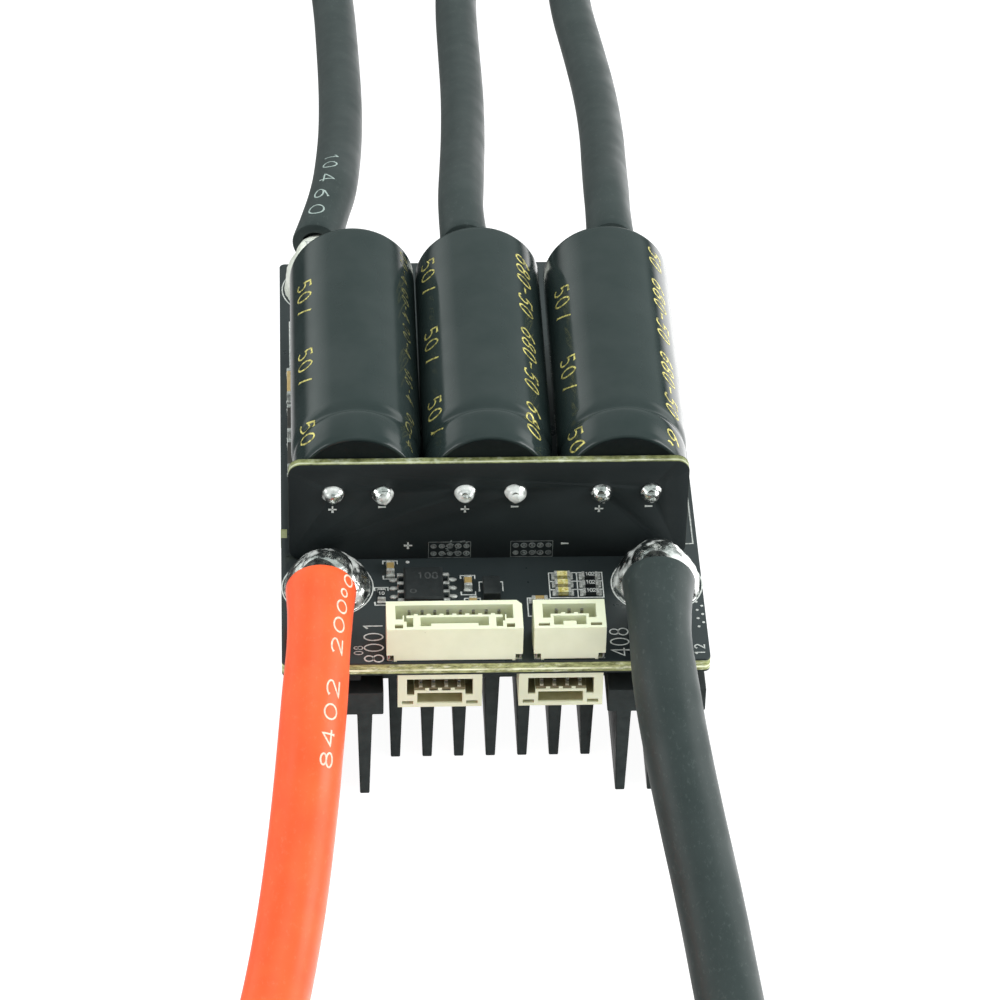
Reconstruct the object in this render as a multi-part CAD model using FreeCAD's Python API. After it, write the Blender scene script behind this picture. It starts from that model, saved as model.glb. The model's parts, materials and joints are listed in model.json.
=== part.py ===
"""Brushless motor speed controller: a board on a finned heatsink, with three capacitors,
four small wire headers and five soldered silicone leads.

Millimetres. X runs across the board, Y from the supply end to the motor end, Z up.
The origin is on the surface that the fin tips stand on, below the middle of the board.
"""
import FreeCAD
import Part
import math
import os

V = FreeCAD.Vector
X_AXIS, Y_AXIS, Z_AXIS = V(1, 0, 0), V(0, 1, 0), V(0, 0, 1)

# ---- driving dimensions ------------------------------------------------------------
board_w, board_l, board_t = 41.8, 65.8, 1.6
board_corner_r = 0.6

sink_w = 41.3
fin_h, sink_base_t = 10.5, 2.8
fin_count, fin_pitch = 13, 3.18
fin_root_t, fin_tip_t, fin_shift = 1.5, 0.95, -0.12
notch_w, notch_depth = 22.0, 5.3
sink_gap = 2.3                      # heatsink to board, filled by transistors and pad

mosfet_w, mosfet_l, mosfet_h = 5.0, 6.0, 1.0
phase_columns = (-13.6, 0.0, 13.6)

header_pitch, header_depth, header_h = 1.25, 4.25, 4.1
header_margin = 4.5                 # width beyond the pin row
top_header_setback, low_header_setback = 0.2, 0.1
comm_pins, comm_x = 8, -4.1
ppm_pins, ppm_x = 3, 7.1
can_pins, can_x = 4, (-5.5, 6.35)

riser_w, riser_h, riser_t = 39.6, 12.1, 1.0     # upright board that carries the capacitors
riser_x, riser_front_y = -0.3, -17.1
riser_corner_r = 1.3

cap_r, cap_len = 6.5, 35.0
cap_xs = (-13.28, -0.18, 13.27)
cap_lift = 8.6                      # capacitor axis above the board
cap_lead_pitch, cap_lead_r = 5.0, 0.4
sleeve_t, can_wall = 0.15, 0.4
bung_t = 2.2

power_d, phase_d = 6.4, 5.0
power_pad_xs, power_pad_y = (-16.35, 16.35), -21.45
phase_pad_xs, phase_pad_y = (-16.1, -0.6, 14.9), 28.2
pad_r = 4.25
power_joint_h, phase_joint_h = 4.7, 4.4

pin_r, pin_len, plug_neck = 2.0, 9.0, 0.6     # bullet plug's free end
cup_r, cup_len = 2.5, 7.0
shrink_t, shrink_grip = 0.3, 5.0
tinned_r, tinned_len = 2.0, 9.0

# ---- heights worked out from them ----------------------------------------------------
sink_top = fin_h + sink_base_t
board_z = sink_top + sink_gap
top_z = board_z + board_t
cap_z = top_z + cap_lift
riser_back_y = riser_front_y + riser_t
front_y, rear_y = -board_l / 2, board_l / 2
shrink_r = phase_d / 2 + shrink_t

# Lead routes, from the solder joint to the free end. They leave the joint level, sag to
# the surface and lie on it.
routes = {
    "positive_lead": (power_d, [
        (-17.0, -27.1, 21.9), (-17.1, -30.8, 21.6), (-17.4, -35.4, 20.1),
        (-18.0, -41.5, 16.9), (-18.9, -49.0, 11.9), (-20.25, -58.0, 7.1),
        (-22.1, -68.0, 4.2), (-24.6, -79.0, 3.4), (-27.0, -92.5, 3.3),
        (-28.2, -106.0, 3.25), (-28.2, -119.0, 3.25)]),
    "negative_lead": (power_d, [
        (16.0, -26.6, 22.0), (15.8, -30.6, 21.6), (15.75, -35.4, 20.2),
        (16.4, -41.5, 17.1), (17.7, -49.0, 12.8), (19.35, -58.0, 8.5),
        (20.5, -67.5, 5.2), (21.5, -77.5, 3.7), (23.2, -90.5, 3.3),
        (25.4, -103.5, 3.25), (28.2, -116.0, 3.25)]),
    "phase_lead_left": (phase_d, [
        (-16.95, 29.2, 22.4), (-15.85, 35.2, 22.0), (-14.95, 41.0, 20.8),
        (-14.4, 49.5, 18.1), (-13.9, 61.5, 14.4), (-13.75, 75.0, 10.8),
        (-13.9, 90.0, 6.9), (-14.2, 105.0, 4.0), (-15.2, 119.0, 2.8),
        (-17.0, 133.0, 2.7), (-19.2, 146.0, 2.9)]),
    "phase_lead_middle": (phase_d, [
        (-1.0, 29.2, 22.3), (-1.25, 35.2, 22.0), (-1.0, 41.0, 20.8),
        (-0.55, 49.5, 18.1), (0.0, 60.5, 14.8), (0.45, 74.0, 11.0),
        (0.6, 88.5, 7.2), (0.7, 104.0, 4.1), (1.5, 118.5, 2.8),
        (3.2, 132.5, 2.7), (5.4, 146.0, 2.9)]),
    "phase_lead_right": (phase_d, [
        (14.7, 29.2, 22.3), (14.75, 35.2, 22.0), (14.95, 41.0, 20.8),
        (15.3, 49.5, 18.0), (15.8, 60.5, 14.8), (15.97, 74.0, 11.0),
        (15.6, 88.5, 7.2), (14.75, 104.0, 4.1), (14.8, 118.5, 2.8),
        (16.6, 132.5, 2.7), (19.4, 145.5, 2.9)]),
}


# ---- small helpers -------------------------------------------------------------------
def block(x, y, z):
    """A box from three (low, high) ranges."""
    return Part.makeBox(x[1] - x[0], y[1] - y[0], z[1] - z[0], V(x[0], y[0], z[0]))


def block_at(cx, cy, w, l, z):
    return block((cx - w / 2, cx + w / 2), (cy - l / 2, cy + l / 2), z)


def rod(r, start, direction, length):
    return Part.makeCylinder(r, length, start, direction)


def turned(points, centre):
    """A solid of revolution about the Y axis through centre, from (radius, y) points."""
    ring = [V(centre.x + r, centre.y + y, centre.z) for r, y in points]
    face = Part.Face(Part.makePolygon(ring + ring[:1]))
    return face.revolve(centre, Y_AXIS, 360)


def joined(solids):
    return solids[0].multiFuse(solids[1:]).removeSplitter() if len(solids) > 1 else solids[0]


def save(node, solids):
    shape = solids[0] if len(solids) == 1 else Part.makeCompound(solids)
    shape.exportStep(f"parts/{node}.step")


def fillet_upright(shape, r, direction):
    """Rounds the straight edges that run along direction."""
    edges = [e for e in shape.Edges
             if isinstance(e.Curve, Part.Line) and abs(e.Curve.Direction.dot(direction)) > 0.99]
    return shape.makeFillet(r, edges)


# ---- heatsink, boards -------------------------------------------------------------------
def heatsink():
    base = block((-sink_w / 2, sink_w / 2), (front_y, rear_y), (fin_h, sink_top))
    fins = []
    for i in range(fin_count):
        x = (i - (fin_count - 1) / 2) * fin_pitch + fin_shift
        outline = [V(x - fin_tip_t / 2, front_y, 0), V(x + fin_tip_t / 2, front_y, 0),
                   V(x + fin_root_t / 2, front_y, fin_h), V(x - fin_root_t / 2, front_y, fin_h)]
        face = Part.Face(Part.makePolygon(outline + outline[:1]))
        fins.append(face.extrude(V(0, board_l, 0)))
    notch = block((-notch_w / 2, notch_w / 2), (front_y - 1, front_y + notch_depth), (-1, sink_top + 1))
    return joined([base] + fins).cut(notch)


def thermal_pad():
    return block((-19, 19), (-3, 24), (sink_top, board_z - mosfet_h))


def main_board():
    board = block((-board_w / 2, board_w / 2), (front_y, rear_y), (board_z, top_z))
    return fillet_upright(board, board_corner_r, Z_AXIS)


def riser_board(cap_leads):
    x0 = riser_x - riser_w / 2
    board = block((x0, x0 + riser_w), (riser_front_y, riser_back_y), (top_z, top_z + riser_h))
    board = fillet_upright(board, riser_corner_r, Y_AXIS)
    return board.cut(Part.makeCompound(cap_leads))


# ---- parts under the board ------------------------------------------------------------------
def mosfets():
    """Four transistors for each phase: a moulded body, and its drain tab and source legs."""
    bodies, tabs = [], []
    tab_t, leg_w, leg_pitch = 0.25, 0.5, 1.27
    for column in phase_columns:
        for dx in (-2.9, 2.9):
            for y in (9.0, 18.5):
                x = column + dx
                body = block_at(x, y, mosfet_w, mosfet_l - 0.6, (board_z - mosfet_h, board_z))
                metal = [block_at(x, y + 2.3, mosfet_w - 0.6, 1.4, (board_z - tab_t, board_z))]
                for i in range(4):
                    leg_x = x + (i - 1.5) * leg_pitch
                    metal.append(block_at(leg_x, y - 2.75, leg_w, 0.7, (board_z - tab_t, board_z)))
                bodies.append(body.cut(Part.makeCompound(metal)))
                tabs += metal
    return bodies, tabs


def shunts():
    """One current-sensing resistor for each phase."""
    return [block_at(x, 0.5, 6.4, 3.2, (board_z - 0.7, board_z)) for x in phase_columns]


def surge_suppressor():
    return block((-19.6, -13.2), (front_y + 0.6, front_y + 5.0), (board_z - 1.15, board_z))


# ---- chips -------------------------------------------------------------------------------
def gull_leg(x, y, out, body_z, reach, width):
    """A leg that leaves the body at body_z, bends down and ends flat on the board.

    out is the unit direction that it leaves in, and reach its full length."""
    t = 0.15
    knee = reach * 0.45
    profile = [(0, body_z), (knee + t, body_z), (knee + t, t), (reach, t), (reach, 0),
               (knee, 0), (knee, body_z - t), (0, body_z - t)]
    side = V(-out.y, out.x, 0) * (width / 2)
    ring = [V(x, y, top_z) + out * d + Z_AXIS * h - side for d, h in profile]
    return Part.Face(Part.makePolygon(ring + ring[:1])).extrude(side * 2)


def small_outline_chip(cx, cy, w, l, h, legs, pitch):
    """Body and legs of a chip with legs on its two long sides."""
    body = block_at(cx, cy, w, l, (top_z + 0.1, top_z + h))
    body = body.makeChamfer(0.2, [e for e in body.Edges if e.BoundBox.ZMin > top_z + h - 0.01])
    feet = []
    for side in (-1, 1):
        for i in range(legs):
            y = cy + (i - (legs - 1) / 2) * pitch
            feet.append(gull_leg(cx + side * w / 2, y, V(side, 0, 0), h * 0.55, 1.05, 0.42))
    return body, feet


def quad_chip(cx, cy, w, h, legs, pitch):
    """Body and legs of a square chip with legs on all four sides."""
    body = block_at(cx, cy, w, w, (top_z + 0.1, top_z + h))
    feet = []
    for out in (V(1, 0, 0), V(-1, 0, 0), V(0, 1, 0), V(0, -1, 0)):
        along = V(-out.y, out.x, 0)
        for i in range(legs):
            p = V(cx, cy, 0) + out * (w / 2) + along * ((i - (legs - 1) / 2) * pitch)
            feet.append(gull_leg(p.x, p.y, out, h * 0.5, 0.9, 0.22))
    return body, feet


def chip_parts(places, w, l, h):
    return [block_at(x, y, w, l, (top_z, top_z + h)) for x, y in places]


# ---- wire headers ----------------------------------------------------------------------
def header(pins, lying):
    """Housing, pins and solder tabs, open at the top: X across, latch side at y = 0.

    A header that lies down is soldered on its pin side, and an upright one on its bottom."""
    row = (pins - 1) * header_pitch
    w = row + header_margin
    wall, floor_z = 0.6, 0.9
    latch_y, lip = (0.6, 1.9), 0.28
    housing = block((-w / 2, w / 2), (0, header_depth), (0, header_h))
    recess = block((-row / 2 - 1.35, row / 2 + 1.35), (1.6, header_depth - wall), (floor_z, header_h))
    latch_w = row + 0.65
    shroud = block((-latch_w / 2 - lip, latch_w / 2 + lip), (1.6, latch_y[1] + lip), (0, header_h))
    slot = block((-latch_w / 2, latch_w / 2), latch_y, (floor_z, header_h))
    cuts = [recess.cut(shroud), slot]
    posts, tabs = [], []
    for i in range(pins):
        posts.append(header_pin(i * header_pitch - row / 2, lying))
    for side in (-1, 1):
        cuts.append(block_at(side * (w / 2 - 0.95), 0.74, 1.1, 0.42, (floor_z, header_h)))
        x = side * (w / 2 - 0.35)
        pocket, tab = header_tab(x, side, lying)
        cuts.append(pocket)
        tabs.append(tab)
    return housing.cut(Part.makeCompound(cuts + posts)), posts, tabs


def header_pin(x, lying):
    t = 0.2
    post = block_at(x, 3.05, 0.3, 0.3, (0, header_h - 0.25))
    if lying:
        tail = block((x - 0.15, x + 0.15), (2.9, header_depth), (-t, 0))
        foot = block((x - 0.15, x + 0.15), (header_depth - t, header_depth), (-0.6, 0))
        return joined([post, tail, foot])
    return joined([post, block((x - 0.15, x + 0.15), (2.9, header_depth + 0.55), (0, t))])


def header_tab(x, side, lying):
    """The pocket in a bottom corner of the housing, and the solder tab in it."""
    t = 0.18
    cheek_x = (x + side * 0.1 - t / 2, x + side * 0.1 + t / 2)
    if lying:
        pocket = block((x - 0.35, x + 0.35), (header_depth - 0.8, header_depth), (0.8, 2.4))
        foot = block((x - 0.3, x + 0.3), (header_depth - t, header_depth), (0.9, 2.3))
        cheek = block(cheek_x, (header_depth - 0.8, header_depth), (1.0, 2.2))
    else:
        pocket = block_at(x, 0.7, 0.7, 1.6, (0, 0.8))
        foot = block_at(x, 0.65, 0.6, 1.3, (0, t))
        cheek = block(cheek_x, (0.2, 1.3), (0, 0.8))
    return pocket, joined([foot, cheek])


def place_upright(shapes, x):
    """A header on top of the board, with its latch side at the front."""
    return [s.translated(V(x, front_y + top_header_setback, top_z)) for s in shapes]


def place_lying(shapes, x):
    """A header under the board, with its mouth at the front and its pins by the board."""
    moved = []
    for s in shapes:
        s = s.copy()
        s.rotate(V(0, 0, 0), X_AXIS, 90)
        s.translate(V(x, front_y + low_header_setback + header_h, board_z - header_depth))
        moved.append(s)
    return moved


# ---- capacitors -------------------------------------------------------------------------
def capacitor(x):
    """Sleeve, can, bung, winding and leads. The bung end touches the upright board."""
    foot = V(x, riser_back_y, cap_z)
    can_r = cap_r - sleeve_t
    inner_r = can_r - can_wall
    neck_r = can_r - 0.7
    end = cap_len - sleeve_t
    can = turned([(inner_r - 0.5, 0.3), (can_r - 0.3, 0.3), (can_r - 0.1, 1.3), (neck_r, 1.9),
                  (can_r, 2.7), (can_r, end), (0, end), (0, end - can_wall),
                  (inner_r, end - can_wall), (inner_r, bung_t + 0.6), (neck_r - can_wall, 1.9),
                  (inner_r - 0.5, 1.3)], foot)
    sleeve = turned([(can_r - 1.6, 0.1), (can_r - 0.15, 0.1), (cap_r - 0.1, 1.3),
                     (neck_r + sleeve_t, 1.9), (cap_r, 2.7), (cap_r, cap_len),
                     (cap_r - 1.8, cap_len), (cap_r - 1.8, end), (can_r, end), (can_r, 2.7),
                     (neck_r, 1.9), (can_r - 0.1, 1.3), (can_r - 0.3, 0.3), (can_r - 1.6, 0.3)], foot)
    stick_out = 0.9
    lead_len = stick_out + riser_t + bung_t
    leads = [rod(cap_lead_r, V(x + side * cap_lead_pitch / 2, riser_front_y - stick_out, cap_z),
                 Y_AXIS, lead_len) for side in (-1, 1)]
    bung_r = neck_r - can_wall
    bung = turned([(0, 0.4), (bung_r, 0.4), (bung_r, bung_t), (0, bung_t)], foot)
    winding_r = inner_r - 0.3
    winding = turned([(0, bung_t), (bung_r - 0.5, bung_t), (winding_r, bung_t + 1.0),
                      (winding_r, end - 1.2), (0, end - 1.2)], foot)
    return sleeve, can, bung.cut(Part.makeCompound(leads)), winding, leads


def lead_joint(lead):
    """The solder cone where a capacitor lead comes through the upright board."""
    c = lead.CenterOfMass
    cone = Part.makeCone(0.95, 0.5, 1.25, V(c.x, riser_front_y, c.z), V(0, -1, 0))
    return cone.cut(lead)


# ---- leads ----------------------------------------------------------------------------
def smooth_path(points):
    """Straight runs joined by arcs that are as large as the shorter run allows."""
    p = [V(*q) for q in points]
    edges, radii = [], []
    last = p[0]
    for a, b, c in zip(p, p[1:], p[2:]):
        back, ahead = (a - b), (c - b)
        reach = 0.45 * min(back.Length, ahead.Length)
        back.normalize()
        ahead.normalize()
        turn = math.pi - back.getAngle(ahead)
        radius = reach / math.tan(turn / 2)
        start, finish = b + back * reach, b + ahead * reach
        inward = (back + ahead).normalize()
        middle = b + inward * (radius / math.cos(turn / 2) - radius)
        edges.append(Part.LineSegment(last, start).toShape())
        edges.append(Part.Arc(start, middle, finish).toShape())
        radii.append(radius)
        last = finish
    edges.append(Part.LineSegment(last, p[-1]).toShape())
    return Part.Wire(edges), radii


def lead(name):
    diameter, points = routes[name]
    path, radii = smooth_path(points)
    start = V(*points[0])
    ring = Part.Wire(Part.makeCircle(diameter / 2, start, V(*points[1]) - start))
    tube = path.makePipeShell([ring], True, True)
    ratio = tube.Volume / (math.pi * diameter ** 2 / 4 * path.Length)
    print(f"{name}: length {path.Length:.1f}, volume over section x length {ratio:.3f},"
          f" smallest radius {min(radii):.0f}, radii {[round(r) for r in radii]}")
    return tube


def outward(name, end):
    """Tip and unit direction of a route's first (0) or last (-1) point, out of the lead."""
    points = routes[name][1]
    tip = V(*points[end])
    inner = V(*points[1 if end == 0 else -2])
    return tip, (tip - inner).normalize()


def conductor_stub(name, r, length, slope, tube):
    """The bare strands between the insulation and the pad, sloping down to the pad."""
    tip, out = outward(name, 0)
    return rod(r, tip, (out - Z_AXIS * slope).normalize(), length).cut(tube)


def solder_joint(x, y, r, h, held):
    """A domed fillet on the board, cut to the lead and the strands that it holds."""
    foot = V(x, y, top_z)
    long_way, short_way = (Z_AXIS * h, X_AXIS * r) if h > r else (X_AXIS * r, Z_AXIS * h)
    ellipse = Part.Ellipse(foot + long_way, foot + short_way, foot)
    quarter = Part.ArcOfEllipse(ellipse, 0, math.pi / 2).toShape()
    rim, crown = foot + X_AXIS * r, foot + Z_AXIS * h
    sides = [quarter, Part.makeLine(crown, foot), Part.makeLine(foot, rim)]
    dome = Part.Face(Part.Wire(Part.__sortEdges__(sides))).revolve(foot, Z_AXIS, 360)
    return max(dome.cut(Part.makeCompound(held)).Solids, key=lambda s: s.Volume)


def bullet_plug(name):
    """A plug pin with slots in its tip and a solder cup behind it, and its shrink sleeve."""
    tip, out = outward(name, -1)
    cup = rod(cup_r, tip, out, cup_len)
    collar_end = tip + out * cup_len
    neck = rod(pin_r - 0.25, collar_end, out, plug_neck)
    pin = rod(pin_r, collar_end + out * plug_neck, out, pin_len - plug_neck)
    pin = pin.makeChamfer(0.5, [e for e in pin.Edges if (e.CenterOfMass - collar_end).Length > pin_len - 0.1])
    plug = joined([cup, neck, pin])
    slot_start = collar_end + out * 1.5
    across = out.cross(Z_AXIS).normalize()
    upward = across.cross(out)
    for side in ((across + upward).normalize(), (across - upward).normalize()):
        slot = Part.makeBox(2 * pin_r + 1, 0.35, pin_len)
        slot.translate(V(-pin_r - 0.5, -0.175, 0))
        turn = FreeCAD.Rotation(side, out.cross(side), out, "ZXY")
        slot.Placement = FreeCAD.Placement(slot_start, turn).multiply(slot.Placement)
        plug = plug.cut(slot)
    back = tip - out * shrink_grip
    length = shrink_grip + cup_len + 0.4
    shrink = rod(shrink_r, back, out, length).cut(rod(phase_d / 2, back, out, length))
    return plug, shrink


def tinned_end(name):
    tip, out = outward(name, -1)
    end = rod(tinned_r, tip, out, tinned_len)
    return end.makeFillet(0.8, [e for e in end.Edges if (e.CenterOfMass - tip).Length > tinned_len - 0.1])


# ---- build ------------------------------------------------------------------------------
def build_power_stage():
    save("heatsink", [heatsink()])
    save("thermal_pad", [thermal_pad()])
    save("main_board", [main_board()])
    bodies, tabs = mosfets()
    save("mosfet_packages", bodies)
    save("mosfet_tabs", tabs)
    save("shunt_resistors", shunts())
    save("surge_suppressor", [surge_suppressor()])


def build_logic():
    chips = {
        "transceiver": small_outline_chip(-6.85, -22.4, 3.9, 4.9, 1.45, 4, 1.27),
        "regulator": small_outline_chip(14.6, -10.5, 3.9, 4.9, 1.45, 4, 1.27),
        "microcontroller": quad_chip(0.0, 2.0, 10.0, 1.2, 16, 0.5),
        "gate_driver": quad_chip(0.0, 15.5, 7.0, 1.2, 12, 0.5),
    }
    for name, (body, legs) in chips.items():
        save(name, [body])
        save(name + "_legs", legs)
    save("crystal", [block_at(-9.3, 2.0, 3.2, 2.5, (top_z, top_z + 0.8))])
    save("power_inductor", [block_at(13.8, -4.2, 5.0, 5.0, (top_z, top_z + 1.8))])
    save("status_leds", chip_parts([(7.0, y) for y in (-20.3, -21.55, -22.8)], 1.6, 0.8, 0.55))
    resistors = [(9.75, y) for y in (-20.3, -21.55, -22.8)]
    save("chip_resistors", chip_parts(resistors, 1.6, 0.8, 0.45)
         + chip_parts([(-11.0, -22.9)], 0.8, 1.6, 0.45))
    save("chip_capacitors", chip_parts([(-10.05, -19.0), (-2.4, -21.4), (-2.0, -24.6), (4.6, -25.2)],
                                       0.8, 1.6, 0.8))
    save("bus_capacitors", chip_parts([(-18.95, y) for y in (10.6, 4.4, -1.4)], 2.5, 4.6, 1.2)
         + chip_parts([(18.95, y) for y in (10.6, 4.4)], 2.5, 4.6, 1.2))
    save("diode", [block_at(-0.1, -22.4, 1.7, 2.7, (top_z, top_z + 1.0))])


def build_headers():
    upright = (("comm_header", comm_pins, comm_x), ("ppm_header", ppm_pins, ppm_x))
    lying = (("can_header_left", can_pins, can_x[0]), ("can_header_right", can_pins, can_x[1]))
    tabs = []
    for group, place in ((upright, place_upright), (lying, place_lying)):
        for name, pins, x in group:
            housing, posts, feet = header(pins, group is lying)
            save(name + "_housing", place([housing], x))
            save(name + "_pins", place(posts, x))
            tabs += place(feet, x)
    save("header_tabs", tabs)


def build_capacitors():
    sides = ("left", "middle", "right")
    bungs, windings, leads = [], [], []
    for side, x in zip(sides, cap_xs):
        sleeve, can, bung, winding, pair = capacitor(x)
        save("capacitor_sleeve_" + side, [sleeve])
        save("capacitor_can_" + side, [can])
        bungs.append(bung)
        windings.append(winding)
        leads += pair
    save("capacitor_bungs", bungs)
    save("capacitor_windings", windings)
    save("capacitor_leads", leads)
    save("capacitor_lead_joints", [lead_joint(pair) for pair in leads])
    save("capacitor_board", [riser_board(leads)])
    joints = []
    for x in (-4.3, 3.9):
        outline = [V(x - 4, riser_back_y, top_z), V(x - 4, riser_back_y + 1.2, top_z),
                   V(x - 4, riser_back_y, top_z + 1.2)]
        joints.append(Part.Face(Part.makePolygon(outline + outline[:1])).extrude(V(8, 0, 0)))
    save("board_joints", joints)


def build_leads():
    tubes = {name: lead(name) for name in routes}
    for name, tube in tubes.items():
        save(name, [tube])
    stubs = []
    power = ("positive_lead", "negative_lead")
    for name, x in zip(power, power_pad_xs):
        stub = conductor_stub(name, 2.0, 5.0, 0.45, tubes[name])
        stubs.append(stub)
        joint = solder_joint(x, power_pad_y, pad_r, power_joint_h, [tubes[name], stub])
        save(name.replace("lead", "solder_joint"), [joint])
        save(name.replace("lead", "tinned_end"), [tinned_end(name)])
    phase_joints = []
    for side, x in zip(("left", "middle", "right"), phase_pad_xs):
        name = "phase_lead_" + side
        stub = conductor_stub(name, 1.6, 4.2, 0.9, tubes[name])
        stubs.append(stub)
        joint = solder_joint(x, phase_pad_y, pad_r, phase_joint_h, [tubes[name], stub])
        phase_joints.append(joint)
        plug, shrink = bullet_plug(name)
        save("bullet_plug_" + side, [plug])
        save("plug_sleeve_" + side, [shrink])
    save("phase_solder_joints", phase_joints)
    save("conductor_ends", stubs)


os.makedirs("parts", exist_ok=True)
build_power_stage()
build_logic()
build_headers()
build_capacitors()
build_leads()
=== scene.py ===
"""Looks of the motor speed controller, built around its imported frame.

Metres and +Z up in Blender. The numbers below are millimetres and go through MM.
"""
import json
import math
import random
from itertools import product
import bmesh
import bpy
from mathutils import Matrix, Vector, noise
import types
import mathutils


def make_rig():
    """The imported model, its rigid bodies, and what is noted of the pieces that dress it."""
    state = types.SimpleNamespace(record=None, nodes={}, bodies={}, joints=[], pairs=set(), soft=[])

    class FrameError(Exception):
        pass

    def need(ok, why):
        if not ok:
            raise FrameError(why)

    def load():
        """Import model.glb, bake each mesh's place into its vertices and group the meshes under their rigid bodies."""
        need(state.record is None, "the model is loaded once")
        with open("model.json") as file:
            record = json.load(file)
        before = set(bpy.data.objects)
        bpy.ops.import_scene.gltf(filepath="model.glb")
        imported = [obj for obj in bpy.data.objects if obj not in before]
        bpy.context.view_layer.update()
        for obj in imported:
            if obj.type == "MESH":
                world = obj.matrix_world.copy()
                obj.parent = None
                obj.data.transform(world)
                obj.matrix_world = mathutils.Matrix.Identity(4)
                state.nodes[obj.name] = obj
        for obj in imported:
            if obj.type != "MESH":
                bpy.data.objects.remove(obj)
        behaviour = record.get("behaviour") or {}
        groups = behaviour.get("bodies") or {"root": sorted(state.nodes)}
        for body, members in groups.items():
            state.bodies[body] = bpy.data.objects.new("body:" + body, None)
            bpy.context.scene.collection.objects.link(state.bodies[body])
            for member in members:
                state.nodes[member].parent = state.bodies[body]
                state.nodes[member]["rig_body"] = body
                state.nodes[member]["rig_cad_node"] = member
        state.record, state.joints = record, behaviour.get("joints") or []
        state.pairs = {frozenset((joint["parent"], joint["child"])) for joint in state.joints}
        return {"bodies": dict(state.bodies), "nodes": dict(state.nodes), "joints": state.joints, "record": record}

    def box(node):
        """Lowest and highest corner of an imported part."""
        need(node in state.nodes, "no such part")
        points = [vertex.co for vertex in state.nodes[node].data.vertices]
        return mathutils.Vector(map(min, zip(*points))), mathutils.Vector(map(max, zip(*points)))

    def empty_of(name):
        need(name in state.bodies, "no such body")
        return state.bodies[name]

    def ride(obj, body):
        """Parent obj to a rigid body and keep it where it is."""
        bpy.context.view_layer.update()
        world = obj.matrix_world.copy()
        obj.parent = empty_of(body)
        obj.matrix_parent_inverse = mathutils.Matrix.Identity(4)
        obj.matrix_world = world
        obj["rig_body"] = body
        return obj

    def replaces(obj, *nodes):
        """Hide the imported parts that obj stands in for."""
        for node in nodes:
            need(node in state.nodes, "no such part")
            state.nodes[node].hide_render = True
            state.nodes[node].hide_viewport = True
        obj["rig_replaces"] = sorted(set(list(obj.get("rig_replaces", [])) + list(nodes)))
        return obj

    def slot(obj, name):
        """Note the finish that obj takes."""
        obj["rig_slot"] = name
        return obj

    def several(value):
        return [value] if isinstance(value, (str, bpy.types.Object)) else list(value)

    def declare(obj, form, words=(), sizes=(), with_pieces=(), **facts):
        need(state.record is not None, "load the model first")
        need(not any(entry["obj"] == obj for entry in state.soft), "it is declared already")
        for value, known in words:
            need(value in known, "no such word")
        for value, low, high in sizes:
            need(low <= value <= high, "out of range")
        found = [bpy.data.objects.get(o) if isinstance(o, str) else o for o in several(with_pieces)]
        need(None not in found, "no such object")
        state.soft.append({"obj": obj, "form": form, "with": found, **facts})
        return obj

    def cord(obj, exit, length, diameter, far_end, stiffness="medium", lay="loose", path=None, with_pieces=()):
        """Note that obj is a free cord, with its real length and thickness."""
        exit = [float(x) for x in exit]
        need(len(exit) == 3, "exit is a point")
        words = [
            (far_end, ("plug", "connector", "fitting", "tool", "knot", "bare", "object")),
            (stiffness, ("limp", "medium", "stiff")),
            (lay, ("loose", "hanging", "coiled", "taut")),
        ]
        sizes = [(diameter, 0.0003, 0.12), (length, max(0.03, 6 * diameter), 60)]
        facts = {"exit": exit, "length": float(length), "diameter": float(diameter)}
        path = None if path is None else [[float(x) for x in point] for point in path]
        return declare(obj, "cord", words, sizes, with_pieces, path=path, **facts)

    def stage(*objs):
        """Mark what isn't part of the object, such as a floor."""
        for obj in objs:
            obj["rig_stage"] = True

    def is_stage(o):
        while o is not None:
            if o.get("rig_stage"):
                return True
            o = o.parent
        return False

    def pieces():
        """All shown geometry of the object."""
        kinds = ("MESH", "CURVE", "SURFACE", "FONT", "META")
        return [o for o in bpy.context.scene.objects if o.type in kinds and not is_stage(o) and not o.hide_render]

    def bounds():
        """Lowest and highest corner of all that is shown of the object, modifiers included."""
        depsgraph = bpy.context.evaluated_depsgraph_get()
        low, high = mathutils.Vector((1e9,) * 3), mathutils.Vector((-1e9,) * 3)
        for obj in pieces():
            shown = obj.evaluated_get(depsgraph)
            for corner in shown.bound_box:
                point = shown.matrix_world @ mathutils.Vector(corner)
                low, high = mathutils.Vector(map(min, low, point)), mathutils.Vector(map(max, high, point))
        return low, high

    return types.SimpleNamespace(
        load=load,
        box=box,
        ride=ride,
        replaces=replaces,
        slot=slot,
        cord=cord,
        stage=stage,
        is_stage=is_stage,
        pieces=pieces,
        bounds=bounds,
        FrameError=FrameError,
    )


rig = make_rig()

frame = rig.load()
cad_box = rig.bounds()
MM = 0.001
UP = Vector((0, 0, 1))
TURN = 2 * math.pi
BOARD_TOP = 17.2                    # heights and planes of the frame that pieces stand on
RISER_FRONT, RISER_BACK = -17.1, -16.1
CAP_XS, CAP_Z = (-13.28, -0.18, 13.27), 25.8
CAP_RADIUS, CAP_LENGTH = 6.5, 35.0
PITCH = 1.25                        # between the pins of the wire headers
LED_ROWS = (-20.3, -21.55, -22.8)   # the three LEDs and their resistors
SIDES = ("left", "middle", "right")


# ---- meshes ----
def mesh_of(name, bm):
    mesh = bpy.data.meshes.new(name)
    bmesh.ops.recalc_face_normals(bm, faces=bm.faces)
    bm.to_mesh(mesh)
    bm.free()
    return mesh


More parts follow.
